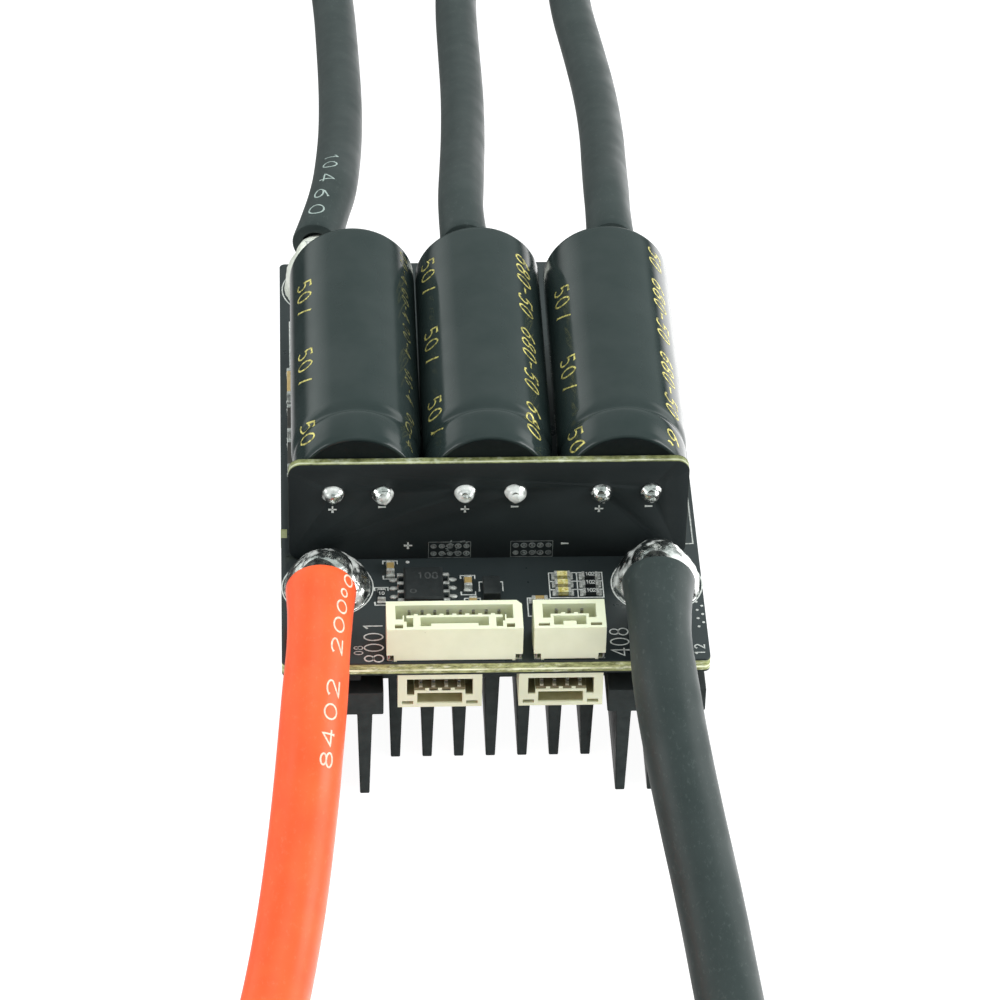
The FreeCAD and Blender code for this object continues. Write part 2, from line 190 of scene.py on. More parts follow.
def add_piece(name, mesh, slot, stands_for=(), material=None, sharp=38):
    """Puts a finished mesh in the scene, with its finish, riding on the one body."""
    if isinstance(mesh, bmesh.types.BMesh):
        mesh = mesh_of(name, mesh)
    piece = bpy.data.objects.new(name, mesh)
    bpy.context.scene.collection.objects.link(piece)
    mesh.materials.clear()
    mesh.materials.append(material or MATERIALS[slot])
    mesh.polygons.foreach_set("use_smooth", [True] * len(mesh.polygons))
    if sharp:
        mesh.set_sharp_from_angle(angle=math.radians(sharp))
    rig.ride(piece, "root")
    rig.slot(piece, slot)
    if stands_for:
        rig.replaces(piece, *stands_for)
    return piece


def bake(piece):
    """Replaces a piece's mesh by what its modifiers make of it."""
    graph = bpy.context.evaluated_depsgraph_get()
    made = bpy.data.meshes.new_from_object(piece.evaluated_get(graph))
    piece.modifiers.clear()
    piece.data = made
    return piece


def bevelled(piece, width, segments=2, angle=34):
    bevel = piece.modifiers.new("edges", "BEVEL")
    bevel.width = width * MM
    bevel.segments = segments
    bevel.limit_method = "ANGLE"
    bevel.angle_limit = math.radians(angle)
    bevel.harden_normals = True
    return bake(piece)


def softened(node, slot, width=0.08, segments=2, material=None):
    """A copy of a CAD node's solids with rounded edges, which stands for the node."""
    bm = bmesh.new()
    bm.from_mesh(frame["nodes"][node].data)
    bmesh.ops.remove_doubles(bm, verts=bm.verts, dist=1e-7)
    bmesh.ops.dissolve_limit(bm, angle_limit=math.radians(1.0), verts=bm.verts, edges=bm.edges)
    piece = add_piece(node + "_body", bm, slot, (node,), material, sharp=None)
    return bevelled(piece, width, segments)


def keep(node, slot):
    """Gives a CAD node whose shape is right its finish."""
    materials = frame["nodes"][node].data.materials
    for i in range(len(materials)):
        materials[i] = MATERIALS[slot]
    if not materials:
        materials.append(MATERIALS[slot])


def ring_surface(bm, rings, capped=True):
    """Skins a list of closed rings of points with quads."""
    rows = [[bm.verts.new(p) for p in ring] for ring in rings]
    count = len(rows[0])
    for a, b in zip(rows, rows[1:]):
        for i in range(count):
            j = (i + 1) % count
            bm.faces.new((a[i], a[j], b[j], b[i]))
    if capped:
        bm.faces.new(list(reversed(rows[0])))
        bm.faces.new(rows[-1])
    return rows


def turned(profile, centre, steps=96, dent=None):
    """A solid of revolution about the Y axis through centre, from (radius, y) points.

    dent gives how far a point moves along the axis."""
    bm = bmesh.new()
    rings = []
    for r, y in profile:
        ring = []
        for i in range(steps):
            t = TURN * i / steps
            x, z = r * math.sin(t), r * math.cos(t)
            push = dent(x, z, y) if dent else 0.0
            ring.append(Vector((centre[0] + x, centre[1] + y + push, centre[2] + z)) * MM)
        rings.append(ring)
    ring_surface(bm, rings)
    return bm


def rounded(points, radius=0.2, steps=4):
    """A polyline with its inner corners rounded, for a turned profile."""
    out = [points[0]]
    for a, b, c in zip(points, points[1:], points[2:]):
        a, b, c = Vector(a), Vector(b), Vector(c)
        back, ahead = a - b, c - b
        reach = min(radius, 0.45 * back.length, 0.45 * ahead.length)
        p, q = b + back.normalized() * reach, b + ahead.normalized() * reach
        for i in range(steps + 1):
            t = i / steps
            out.append(tuple(p * (1 - t) ** 2 + b * 2 * t * (1 - t) + q * t ** 2))
    return out + [points[-1]]


def carved(boxes, place):
    """A solid from boxes of (fill, x range, y range, z range), each laid over the last."""
    cuts = [sorted({round(v, 4) for box in boxes for v in box[axis]}) for axis in (1, 2, 3)]
    middles = [[(a + b) / 2 for a, b in zip(c, c[1:])] for c in cuts]
    cells = list(product(*(range(len(m)) for m in middles)))
    filled = {}
    for cell in cells:
        p = [m[n] for m, n in zip(middles, cell)]
        for fill, *ranges in boxes:
            if all(low < v < high for v, (low, high) in zip(p, ranges)):
                filled[cell] = fill

    bm = bmesh.new()
    made = {}

    def vert(index):
        if index not in made:
            made[index] = bm.verts.new(place(*(cuts[axis][n] for axis, n in enumerate(index))))
        return made[index]

    for cell, axis, side in product(cells, range(3), (0, 1)):
        beside = list(cell)
        beside[axis] += 2 * side - 1
        if not filled.get(cell) or filled.get(tuple(beside)):
            continue
        a, b = [n for n in range(3) if n != axis]
        loop = []
        for da, db in ((0, 0), (1, 0), (1, 1), (0, 1)):
            index = list(cell)
            index[axis] += side
            index[a] += da
            index[b] += db
            loop.append(vert(tuple(index)))
        bm.faces.new(loop)
    return bm


def block(low, high, bm=None):
    """A box from two corners in millimetres."""
    bm = bm or bmesh.new()
    size = Vector(high) - Vector(low)
    middle = (Vector(high) + Vector(low)) / 2
    matrix = Matrix.Translation(middle * MM) @ Matrix.Diagonal((*(size * MM), 1))
    bmesh.ops.create_cube(bm, size=1, matrix=matrix)
    return bm


def ellipsoid(bm, centre, radii, tilt=0.0, segments=(40, 24)):
    """An ellipsoid in millimetres, tilted about the X axis."""
    matrix = (Matrix.Translation(Vector(centre) * MM) @ Matrix.Rotation(tilt, 4, "X")
              @ Matrix.Diagonal((*(r * MM for r in radii), 1)))
    bmesh.ops.create_uvsphere(bm, u_segments=segments[0], v_segments=segments[1], radius=1,
                              matrix=matrix)


def span(side, a, b):
    """The range from a to b, on the side of the middle that side's sign says."""
    return tuple(sorted((side * a, side * b)))


# ---- thin printed lines ----
def arc(cx, cy, rx, ry, start, stop, steps=10):
    angles = [math.radians(start + (stop - start) * i / steps) for i in range(steps + 1)]
    return [(cx + rx * math.cos(a), cy + ry * math.sin(a)) for a in angles]


GLYPHS = {
    "0": [arc(.3, .5, .28, .5, 90, 450, 18)],
    "1": [[(.12, .8), (.32, 1), (.32, 0)]],
    "2": [arc(.3, .7, .27, .3, 165, -25) + [(.02, 0), (.6, 0)]],
    "4": [[(.45, 0), (.45, 1), (0, .3), (.62, .3)]],
    "5": [[(.54, 1), (.12, 1), (.08, .56)] + arc(.28, .32, .28, .32, 125, -145)],
    "6": [[(.5, 1), (.16, .66)] + arc(.3, .3, .27, .3, 165, -195, 16)],
    "7": [[(0, 1), (.58, 1), (.22, 0)]],
    "8": [arc(.3, .76, .22, .24, 90, 450, 14), arc(.3, .27, .28, .27, 90, 450, 14)],
    "+": [[(.02, .5), (.58, .5)], [(.3, .22), (.3, .78)]],
    "-": [[(.05, .5), (.55, .5)]],
    "/": [[(.08, 0), (.5, 1)]],
}


def text(characters, height, advance, start=(0, 0), slant=0.0):
    """Strokes of a row of glyphs, from its lower left corner."""
    out = []
    for i, character in enumerate(characters):
        for stroke in GLYPHS[character]:
            out.append([(start[0] + i * advance + (x + slant * y) * height, start[1] + y * height)
                        for x, y in stroke])
    return out


def upright_text(characters, height, advance, x, y):
    """Strokes of a row of glyphs that reads along the second axis, with its foot at x, y."""
    return [[(x - v, y + u) for u, v in s] for s in text(characters, height, advance)]


def fine(points, step=0.4):
    """The same polyline with no run longer than step."""
    out = [points[0]]
    for a, b in zip(points, points[1:]):
        n = max(1, math.ceil(math.dist(a, b) / step))
        out += [(a[0] + (b[0] - a[0]) * i / n, a[1] + (b[1] - a[1]) * i / n)
                for i in range(1, n + 1)]
    return out


def ribbon(bm, points, width, lay, height=0.02, step=0.6):
    """One printed line as a thin closed strip. lay(u, v, h) puts it on its surface."""
    points = fine(points, step)
    closed = math.dist(points[0], points[-1]) < 1e-6
    if closed:
        points = points[:-1]
    count = len(points)
    rings = []
    for i, (u, v) in enumerate(points):
        before = points[i - 1] if closed or i else points[i]
        after = points[(i + 1) % count] if closed or i < count - 1 else points[i]
        into, out = Vector((u, v)) - Vector(before), Vector(after) - Vector((u, v))
        into, out = (into or out).normalized(), (out or into).normalized()
        along = (into + out).normalized()
        reach = width / 2 / max(0.6, along.dot(into))
        side = Vector((-along.y, along.x)) * reach
        a, b = Vector((u, v)) + side, Vector((u, v)) - side
        rings.append([lay(*a, -0.012), lay(*b, -0.012), lay(*b, height), lay(*a, height)])
    if closed:
        rings.append(rings[0])
        rows = ring_surface(bm, rings, capped=False)
        bmesh.ops.remove_doubles(bm, verts=rows[0] + rows[-1], dist=1e-9)
    else:
        ring_surface(bm, rings)


def printed(name, groups, lay, slot, material, height=0.02, step=0.6):
    """One piece of (strokes, line width) groups printed on a surface."""
    bm = bmesh.new()
    for strokes, width in groups:
        for stroke in strokes:
            ribbon(bm, stroke, width, lay, height, step)
    return add_piece(name, bm, slot, material=material, sharp=30)


def on_board(u, v, h):
    return Vector((u, v, BOARD_TOP + h)) * MM


def on_riser(u, v, h):
    return Vector((u, RISER_FRONT - h, BOARD_TOP + v)) * MM


# ---- materials ----
class Nodes:
    """A node tree, with short calls for the nodes that the looks are made of."""

    def __init__(self, tree):
        self.tree = tree

    def link(self, a, b):
        self.tree.links.new(a, b)

    def node(self, kind, **values):
        made = self.tree.nodes.new("ShaderNode" + kind)
        for key, value in values.items():
            if key in made.inputs:
                made.inputs[key].default_value = value
            else:
                setattr(made, key, value)
        return made

    def split(self, vector):
        """The three parts of a vector."""
        made = self.node("SeparateXYZ")
        self.link(vector, made.inputs["Vector"])
        return made.outputs

    def ramp(self, value, low, high, start=0.3, stop=0.7):
        """low where the value is at start or less, high where it is at stop or more."""
        made = self.node("MapRange")
        numbers = {"From Min": start, "From Max": stop, "To Min": low, "To Max": high}
        for key, number in numbers.items():
            made.inputs[key].default_value = number
        self.link(value, made.inputs["Value"])
        return made.outputs["Result"]

    def math(self, operation, *values):
        made = self.node("Math", operation=operation)
        for value, socket in zip(values, made.inputs):
            self.link(value, socket)
        return made.outputs[0]

    def both(self, a, b):
        """Two masks as one, for where both of them are."""
        return self.math("MULTIPLY", a, b)

    def either(self, a, b):
        """Two masks as one, for where at least one of them is."""
        return self.math("MAXIMUM", a, b)

    def blend(self, value, first, second):
        """A mix of two colours, either of which may be another node's."""
        made = self.node("Mix", data_type="RGBA")
        self.link(value, made.inputs[0])
        for socket, colour in ((made.inputs[6], first), (made.inputs[7], second)):
            if isinstance(colour, tuple):
                socket.default_value = (*colour, 1)
            else:
                self.link(colour, socket)
        return made.outputs[2]


class Finish(Nodes):
    """A principled material, with short calls for the noise that colours and roughens it."""

    def __init__(self, name, colour, rough, metal=0.0, **sockets):
        self.material = bpy.data.materials.new(name)
        self.material.use_nodes = True
        super().__init__(self.material.node_tree)
        self.shader = self.tree.nodes["Principled BSDF"]
        self.coords = self.tree.nodes.new("ShaderNodeTexCoord")
        self.relief = None
        self.put("Base Color", (*colour, 1))
        self.put("Roughness", rough)
        self.put("Metallic", metal)
        for socket, value in sockets.items():
            self.put(socket.replace("_", " "), value)

    def put(self, socket, value):
        self.shader.inputs[socket].default_value = value

    def place(self, scale, stretch=(1, 1, 1)):
        """Object coordinates, scaled to so many waves a millimetre."""
        mapping = self.node("Mapping")
        mapping.inputs["Scale"].default_value = [scale * k / MM for k in stretch]
        self.link(self.coords.outputs["Object"], mapping.inputs["Vector"])
        return mapping.outputs["Vector"]

    def noise(self, scale, detail=3.0, stretch=(1, 1, 1), rough=0.5):
        made = self.node("TexNoise", Scale=1.0, Detail=detail, Roughness=rough)
        self.link(self.place(scale, stretch), made.inputs["Vector"])
        return made.outputs["Fac"]

    def facing(self, axis, start=0.8, stop=0.95):
        """1 where the surface faces along an axis, either way."""
        normal = self.split(self.node("NewGeometry").outputs["True Normal"])
        return self.ramp(self.math("ABSOLUTE", normal[axis]), 0, 1, start, stop)

    def colour(self, socket):
        self.link(socket, self.shader.inputs["Base Color"])
        return self

    def mottle(self, scale, first, second, start=0.35, stop=0.65, **kw):
        return self.colour(self.blend(self.ramp(self.noise(scale, **kw), 0, 1, start, stop),
                                      first, second))

    def wear(self, scale, low, high, **kw):
        self.link(self.ramp(self.noise(scale, **kw), low, high), self.shader.inputs["Roughness"])
        return self

    def grain(self, scale, depth, **kw):
        """Adds noise as relief, depth millimetres deep."""
        made = self.node("Bump", Strength=1.0, Distance=depth * MM)
        self.link(self.noise(scale, **kw), made.inputs["Height"])
        if self.relief:
            self.link(self.relief, made.inputs["Normal"])
        self.relief = made.outputs["Normal"]
        self.link(self.relief, self.shader.inputs["Normal"])
        return self


def silicone(name, colour, shade, dusty, rough):
    """Extruded silicone rubber: a satin skin with faint draw lines and a little dust."""
    f = Finish(name, colour, rough, Specular_IOR_Level=0.38, Sheen_Weight=0.05,
               Sheen_Roughness=0.5)
    skin = f.blend(f.ramp(f.noise(0.22, detail=4), 0, 1), colour, shade)
    dust = f.ramp(f.noise(2.2, detail=9, rough=0.8, stretch=(1, 0.5, 1)), 0, 0.6, 0.55, 0.78)
    f.colour(f.blend(dust, skin, dusty))
    f.wear(0.25, rough - 0.06, rough + 0.08, detail=1)
    return f.grain(5.0, 0.002).material


def laminate(name, axis, low, high, rough_mask, glint, tone, shine, pale):
    """A board: satin black solder mask, and woven glass where it is cut.

    low and high are where along the axis the glass shows; the mask wraps over the rest.
    glint is where a painted highlight runs as a pale band, broken in places, across the cut. tone scales the mask, and
    pale the glass: each board's copy is made lighter or darker by these, as painted light and shade."""
    def scaled(share, *colours):
        return [tuple(c * share for c in colour) for colour in colours]

    f = Finish(name, (0.02, 0.023, 0.024), 0.3, Specular_IOR_Level=shine)
    thread, resin, chalk, bright = scaled(
        pale, (0.12, 0.13, 0.04), (0.43, 0.46, 0.2), (0.64, 0.68, 0.5), (0.95, 0.98, 0.72))
    mask = f.blend(f.ramp(f.noise(0.12, detail=5), 0, 1),
                   *scaled(tone, (0.018, 0.024, 0.0255), (0.024, 0.031, 0.0325)))
    weave = f.noise(2.2, detail=7, rough=0.75, stretch=(0.5, 0.5, 1.5))
    glass = f.blend(f.ramp(weave, 0, 1, 0.36, 0.62), thread, resin)
    streak = f.noise(1.5, detail=5, rough=0.7, stretch=(0.5, 0.5, 1.6))
    glass = f.blend(f.ramp(streak, 0, 0.85, 0.54, 0.68), glass, chalk)
    depth = f.split(f.coords.outputs["Object"])[axis]
    # painted highlight: a pale band across the cut at the height glint, broken by gaps
    painted_glint_band = f.both(f.ramp(depth, 0, 0.8, (glint - 0.14) * MM, (glint - 0.06) * MM),
                   f.ramp(depth, 1, 0, (glint + 0.06) * MM, (glint + 0.16) * MM))
    gaps = f.ramp(f.noise(0.3, detail=5, stretch=(1, 1, 0.1)), 0.25, 1, 0.38, 0.55)
    glass = f.blend(f.both(painted_glint_band, gaps), glass, bright)
    cut = f.both(f.ramp(depth, 0, 1, (low - 0.05) * MM, (low + 0.05) * MM),
                 f.ramp(depth, 1, 0, (high - 0.05) * MM, (high + 0.05) * MM))
    edge = f.both(cut, f.ramp(f.facing(axis), 1, 0, 0, 1))
    f.colour(f.blend(edge, mask, glass))
    rough = f.node("Mix")
    f.link(edge, rough.inputs[0])
    f.link(f.ramp(f.noise(0.5, detail=4), rough_mask, rough_mask + 0.12), rough.inputs[2])
    rough.inputs[3].default_value = 0.5
    f.link(rough.outputs[0], f.shader.inputs["Roughness"])
    return f.grain(6.0, 0.004).material


def metal(name, colour, rough, spread=0.1, scale=1.0, depth=0.01, stretch=(1, 1, 1)):
    f = Finish(name, colour, rough, 1.0)
    f.mottle(scale, colour, tuple(c * 0.8 for c in colour), detail=5)
    f.wear(scale * 1.7, rough - spread, rough + spread, detail=4, stretch=stretch)
    return f.grain(scale * 3, depth, stretch=stretch).material


def plastic(name, colour, shade, rough, scale=1.0, depth=0.01, **sockets):
    f = Finish(name, colour, rough, **sockets)
    f.mottle(scale, colour, shade, detail=6, rough=0.6)
    f.wear(scale * 2, rough - 0.07, rough + 0.08)
    return f.grain(scale * 6, depth).material


def nylon():
    """Natural nylon with sprue grain, faint flow marks and a few dark specks."""
    f = Finish("header_nylon", (0.88, 0.88, 0.68), 0.42, Subsurface_Weight=0.12,
               Subsurface_Radius=(0.9, 0.8, 0.4), Subsurface_Scale=0.4 * MM)
    body = f.blend(f.ramp(f.noise(0.35, detail=4), 0, 1), (0.864, 0.882, 0.665),
                   (0.794, 0.812, 0.597))
    speck = f.ramp(f.noise(1.6, detail=2), 0, 0.65, 0.76, 0.8)
    f.colour(f.blend(speck, body, (0.3, 0.25, 0.12)))
    f.wear(1.0, 0.36, 0.5)
    return f.grain(7.0, 0.008).material


def sleeve():
    """Heat-shrunk film: glossy, thin and a little wavy where it is stretched."""
    f = Finish("sleeve_film", (0.02, 0.025, 0.025), 0.12, Specular_IOR_Level=0.5)
    f.mottle(0.2, (0.017, 0.028, 0.027), (0.025, 0.036, 0.035))
    f.wear(0.3, 0.1, 0.2)
    f.grain(0.16, 0.1, stretch=(1, 0.22, 1), detail=1)
    return f.grain(2.5, 0.003).material


def solder():
    """Bright solder with the fine ripple it sets with. In places it turns from mirror metal to bright white matte:
    partly frost, partly a painted highlight.
    """
    f = Finish("solder", (0.82, 0.83, 0.81), 0.15, 0.95)
    f.mottle(0.8, (0.94, 0.95, 0.92), (0.66, 0.68, 0.66), detail=6, rough=0.65)
    f.wear(1.3, 0.08, 0.3, detail=5)
    # patches of bright white matte solder: partly frosting, partly painted highlight
    frost = f.ramp(f.noise(0.42, detail=3), 1.0, 0.1, 0.5, 0.6)
    f.link(frost, f.shader.inputs["Metallic"])
    return f.grain(0.9, 0.12, detail=4, rough=0.6).grain(5.0, 0.01).material


def anodised():
    """Black anodised extrusion, with draw lines along it and a paler sawn end."""
    f = Finish("anodised_aluminium", (0.02, 0.022, 0.022), 0.42, 0.25)
    sides = f.blend(f.ramp(f.noise(0.4, detail=5), 0, 1), (0.022, 0.026, 0.026),
                    (0.031, 0.035, 0.035))
    sawn = f.blend(f.ramp(f.noise(1.0, detail=6), 0, 1), (0.037, 0.046, 0.046),
                   (0.052, 0.065, 0.064))
    f.colour(f.blend(f.facing(1), sides, sawn))
    f.wear(0.8, 0.34, 0.52, stretch=(1, 0.1, 1))
    f.grain(5.0, 0.02, stretch=(1, 0.03, 1))
    return f.grain(2.0, 0.01, detail=6).material


def ink(name, colour, rough, metal_share=0.0, gaps=0.0):
    """Printed ink, thin and worn in places."""
    f = Finish(name, colour, rough, metal_share)
    f.mottle(3.0, colour, tuple(c * (1 - gaps) for c in colour), 0.45, 0.6, detail=4)
    return f.wear(2.0, rough - 0.08, rough + 0.1).material


MATERIALS = {
    "red_silicone": silicone("red_silicone", (1.0, 0.13, 0.03), (0.97, 0.1, 0.022),
                             (1.0, 0.26, 0.13), 0.4),
    "black_silicone": silicone("black_silicone", (0.03, 0.042, 0.041), (0.021, 0.032, 0.031),
                               (0.12, 0.15, 0.14), 0.46),
    # the main board's copy of the laminate is made paler: painted light
    "board_laminate": laminate("board_laminate", 2, 15.84, 17.02, 0.26, 16.25, 1.14, 0.5, 1.3),
    "header_nylon": nylon(),
    "sleeve_film": sleeve(),
    "solder": solder(),
    "anodised_aluminium": anodised(),
    "tinned_metal": metal("tinned_metal", (0.72, 0.72, 0.69), 0.28),
    "bare_aluminium": metal("bare_aluminium", (0.75, 0.75, 0.76), 0.34, scale=0.6,
                            stretch=(1, 1, 0.1)),
    "gold_plate": metal("gold_plate", (0.94, 0.66, 0.25), 0.24, scale=0.7),
    "chip_resin": plastic("chip_resin", (0.014, 0.017, 0.0175), (0.022, 0.026, 0.0265), 0.5, 1.5,
                          0.02),
    "ceramic": plastic("ceramic", (0.34, 0.23, 0.08), (0.42, 0.3, 0.12), 0.42, 2.0),
    "led_lens": plastic("led_lens", (0.5, 0.4, 0.06), (0.85, 0.8, 0.45), 0.3, 2.6,
                        Subsurface_Weight=0.2, Subsurface_Scale=0.2 * MM),
    "ferrite": plastic("ferrite", (0.05, 0.052, 0.055), (0.09, 0.09, 0.092), 0.6, 2.5, 0.03),
    "pad_silicone": plastic("pad_silicone", (0.42, 0.48, 0.52), (0.33, 0.39, 0.43), 0.65, 0.6,
                            0.03),
    "bung_rubber": plastic("bung_rubber", (0.002, 0.005, 0.006), (0.004, 0.008, 0.009), 0.6, 1.5,
                           Specular_IOR_Level=0.25),
    "foil_winding": metal("foil_winding", (0.6, 0.56, 0.45), 0.45, stretch=(1, 0.1, 1)),
    "shrink_tube": plastic("shrink_tube", (0.016, 0.017, 0.018), (0.026, 0.027, 0.029), 0.38, 0.8,
                           0.03),
}
# The upright board's copy of the same laminate is made darker: painted shade.
RISER_BOARD_PAINTED_SHADE = laminate("riser_laminate_painted_shade", 1, -17.06, -16.14, 0.5, -16.8, 0.8, 0.22, 0.7)
BARE_GLASS = plastic("bare_glass", (0.3, 0.32, 0.14), (0.42, 0.44, 0.24), 0.5, 1.5)
# Dark nylon for plates laid in the headers' recesses and windows: painted shade.
NYLON_PAINTED_DEEP_SHADE = plastic("nylon_painted_deep_shade", (0.17, 0.145, 0.075), (0.24, 0.21, 0.12), 0.45, 1.2)
NYLON_PAINTED_SHADE = plastic("nylon_painted_shade", (0.33, 0.3, 0.17), (0.42, 0.38, 0.23), 0.45, 1.2)
# A darker copy of the pin metal, for the pins inside the upright headers: painted shade.
PIN_METAL_PAINTED_SHADE = metal("pin_metal_painted_shade", (0.36, 0.34, 0.29), 0.3, scale=2.0)
# The contacts' metal as a pale, half-metal plastic that looks bright in any light: painted shine.
CONTACT_PAINTED_SHINE = plastic("contact_painted_shine", (0.8, 0.78, 0.62), (0.4, 0.37, 0.26), 0.3, 2.4, 0.02,
                        metal=0.35)
VIA_METAL = plastic("via_metal", (0.3, 0.32, 0.31), (0.12, 0.13, 0.13), 0.3, 2.0, 0.02)
BRIGHT_END = plastic("bright_end", (0.88, 0.89, 0.85), (0.42, 0.43, 0.41), 0.28, 2.6, 0.03,
                     metal=0.5)
DARK_CERAMIC = plastic("dark_ceramic", (0.05, 0.047, 0.042), (0.08, 0.075, 0.065), 0.45, 1.5)
TAN = plastic("tan_ceramic", (0.72, 0.5, 0.2), (0.8, 0.58, 0.27), 0.35, 1.5)
SILK = ink("silk_ink", (0.72, 0.74, 0.71), 0.55, gaps=0.25)
# Near-white, half-metal solder: partly frosting, partly a painted highlight in place of shiny reflections.
SOLDER_PAINTED_HIGHLIGHT = plastic("solder_painted_highlight", (0.95, 0.96, 0.88), (0.8, 0.82, 0.72), 0.32, 0.5, 0.04,
                         metal=0.3)
GOLD_INK = ink("gold_ink", (0.9, 0.8, 0.25), 0.36, 0.35, gaps=0.7)
PALE_GOLD_INK = ink("pale_gold_ink", (0.36, 0.34, 0.14), 0.4, 0.4, gaps=0.9)
LEAD_INK = ink("lead_ink", (0.96, 0.72, 0.58), 0.5, gaps=0.25)
PALE_INK = ink("pale_ink", (0.46, 0.55, 0.52), 0.5, gaps=0.3)
GREY_INK = ink("grey_ink", (0.07, 0.075, 0.075), 0.5, gaps=0.4)


# ---- leads ----
# Diameter and route of each lead, in millimetres, from the solder joint to the free end.
ROUTES = {
    "positive_lead": (6.4, [
        (-17.0, -27.1, 21.9), (-17.1, -30.8, 21.6), (-17.4, -35.4, 20.1),
        (-18.0, -41.5, 16.9), (-18.9, -49.0, 11.9), (-20.25, -58.0, 7.1),
        (-22.1, -68.0, 4.2), (-24.6, -79.0, 3.4), (-27.0, -92.5, 3.3),
        (-28.2, -106.0, 3.25), (-28.2, -119.0, 3.25)]),
    "negative_lead": (6.4, [
        (16.0, -26.6, 22.0), (15.8, -30.6, 21.6), (15.75, -35.4, 20.2),
        (16.4, -41.5, 17.1), (17.7, -49.0, 12.8), (19.35, -58.0, 8.5),
        (20.5, -67.5, 5.2), (21.5, -77.5, 3.7), (23.2, -90.5, 3.3),
        (25.4, -103.5, 3.25), (28.2, -116.0, 3.25)]),
    "phase_lead_left": (5.0, [
        (-16.95, 29.2, 22.4), (-15.85, 35.2, 22.0), (-14.95, 41.0, 20.8),
        (-14.4, 49.5, 18.1), (-13.9, 61.5, 14.4), (-13.75, 75.0, 10.8),
        (-13.9, 90.0, 6.9), (-14.2, 105.0, 4.0), (-15.2, 119.0, 2.8),
        (-17.0, 133.0, 2.7), (-19.2, 146.0, 2.9)]),
    "phase_lead_middle": (5.0, [
        (-1.0, 29.2, 22.3), (-1.25, 35.2, 22.0), (-1.0, 41.0, 20.8),
        (-0.55, 49.5, 18.1), (0.0, 60.5, 14.8), (0.45, 74.0, 11.0),
        (0.6, 88.5, 7.2), (0.7, 104.0, 4.1), (1.5, 118.5, 2.8),
        (3.2, 132.5, 2.7), (5.4, 146.0, 2.9)]),
    "phase_lead_right": (5.0, [
        (14.7, 29.2, 22.3), (14.75, 35.2, 22.0), (14.95, 41.0, 20.8),
        (15.3, 49.5, 18.0), (15.8, 60.5, 14.8), (15.97, 74.0, 11.0),
        (15.6, 88.5, 7.2), (14.75, 104.0, 4.1), (14.8, 118.5, 2.8),
        (16.6, 132.5, 2.7), (19.4, 145.5, 2.9)]),
}
FLARE = {"positive_lead": 0.26, "negative_lead": 0.38}      # swelling at the heated end


class Line:
    """The smooth line of a route, with a frame at each distance along it."""

    def __init__(self, name):
        self.diameter, route = ROUTES[name]
        self.flare = FLARE.get(name, 0.1)
        curve = bpy.data.curves.new(name + "_line", "CURVE")
        curve.dimensions = "3D"
        curve.resolution_u = 16
        spline = curve.splines.new("NURBS")
        spline.points.add(len(route) - 1)
        for target, p in zip(spline.points, route):
            target.co = (p[0] * MM, p[1] * MM, p[2] * MM, 1.0)
        spline.order_u = 3
        spline.use_endpoint_u = True
        holder = bpy.data.objects.new(name + "_line", curve)
        mesh = bpy.data.meshes.new_from_object(holder)
        self.points = [v.co.copy() for v in mesh.vertices]
        bpy.data.objects.remove(holder)
        bpy.data.curves.remove(curve)
        bpy.data.meshes.remove(mesh)
        self.along = [0.0]
        for a, b in zip(self.points, self.points[1:]):
            self.along.append(self.along[-1] + (b - a).length)
        self.length = self.along[-1]

    def at(self, s):
        """Point, direction, upward normal and sideways normal, s millimetres along."""
        s = min(max(s * MM, 0.0), self.length)
        i = next((k for k, far in enumerate(self.along[1:]) if far >= s), len(self.along) - 2)
        share = (s - self.along[i]) / (self.along[i + 1] - self.along[i])
        point = self.points[i].lerp(self.points[i + 1], share)
        direction = self._direction(i).lerp(self._direction(i + 1), share).normalized()
        normal = (UP - direction * UP.dot(direction)).normalized()
        return point, direction, normal, direction.cross(normal)

    def _direction(self, i):
        last = len(self.points) - 1
        return (self.points[min(i + 1, last)] - self.points[max(i - 1, 0)]).normalized()

    def radius(self, s):
        """The insulation swells at the heated end by the solder joint and necks after it."""
        swell = self.flare * (math.exp(-(s / 2.2) ** 2) - 0.45 * math.exp(-((s - 7.5) / 3.0) ** 2))
        return self.diameter / 2 + swell

    def on_skin(self, s, angle, h):
        """A point h above the skin, angle turned from the top towards the lead's right."""
        p, _, n, b = self.at(s)
        return p + (n * math.cos(angle) + b * math.sin(angle)) * (self.radius(s) + h) * MM

    def ring(self, s, r, steps=56):
        p, _, n, b = self.at(s)
        return [p + (n * math.cos(t) + b * math.sin(t)) * r * MM
                for t in (TURN * i / steps for i in range(steps))]


def insulation(name, line):
    """The skin, with a cut end at the joint that shows its thickness."""
    core = 0.62 * line.diameter / 2
    end = line.length / MM
    lip = [(0.9, core, True), (0.0, core, True), (0.0, -0.3, False), (0.07, -0.1, False),
           (0.28, 0.0, False)]
    rings = [line.ring(s, r if inner else line.radius(s) + r) for s, r, inner in lip]
    count = round(end / 0.8)
    for i in range(1, count):
        s = 0.28 + (end - 0.56) * i / count
        rings.append(line.ring(s, line.radius(s)))
    rings += [line.ring(end - s, r if inner else line.radius(end - s) + r)
              for s, r, inner in reversed(lip)]
    bm = bmesh.new()
    ring_surface(bm, rings)
    slot = "red_silicone" if name == "positive_lead" else "black_silicone"
    return add_piece(name + "_insulation", bm, slot, (name,))


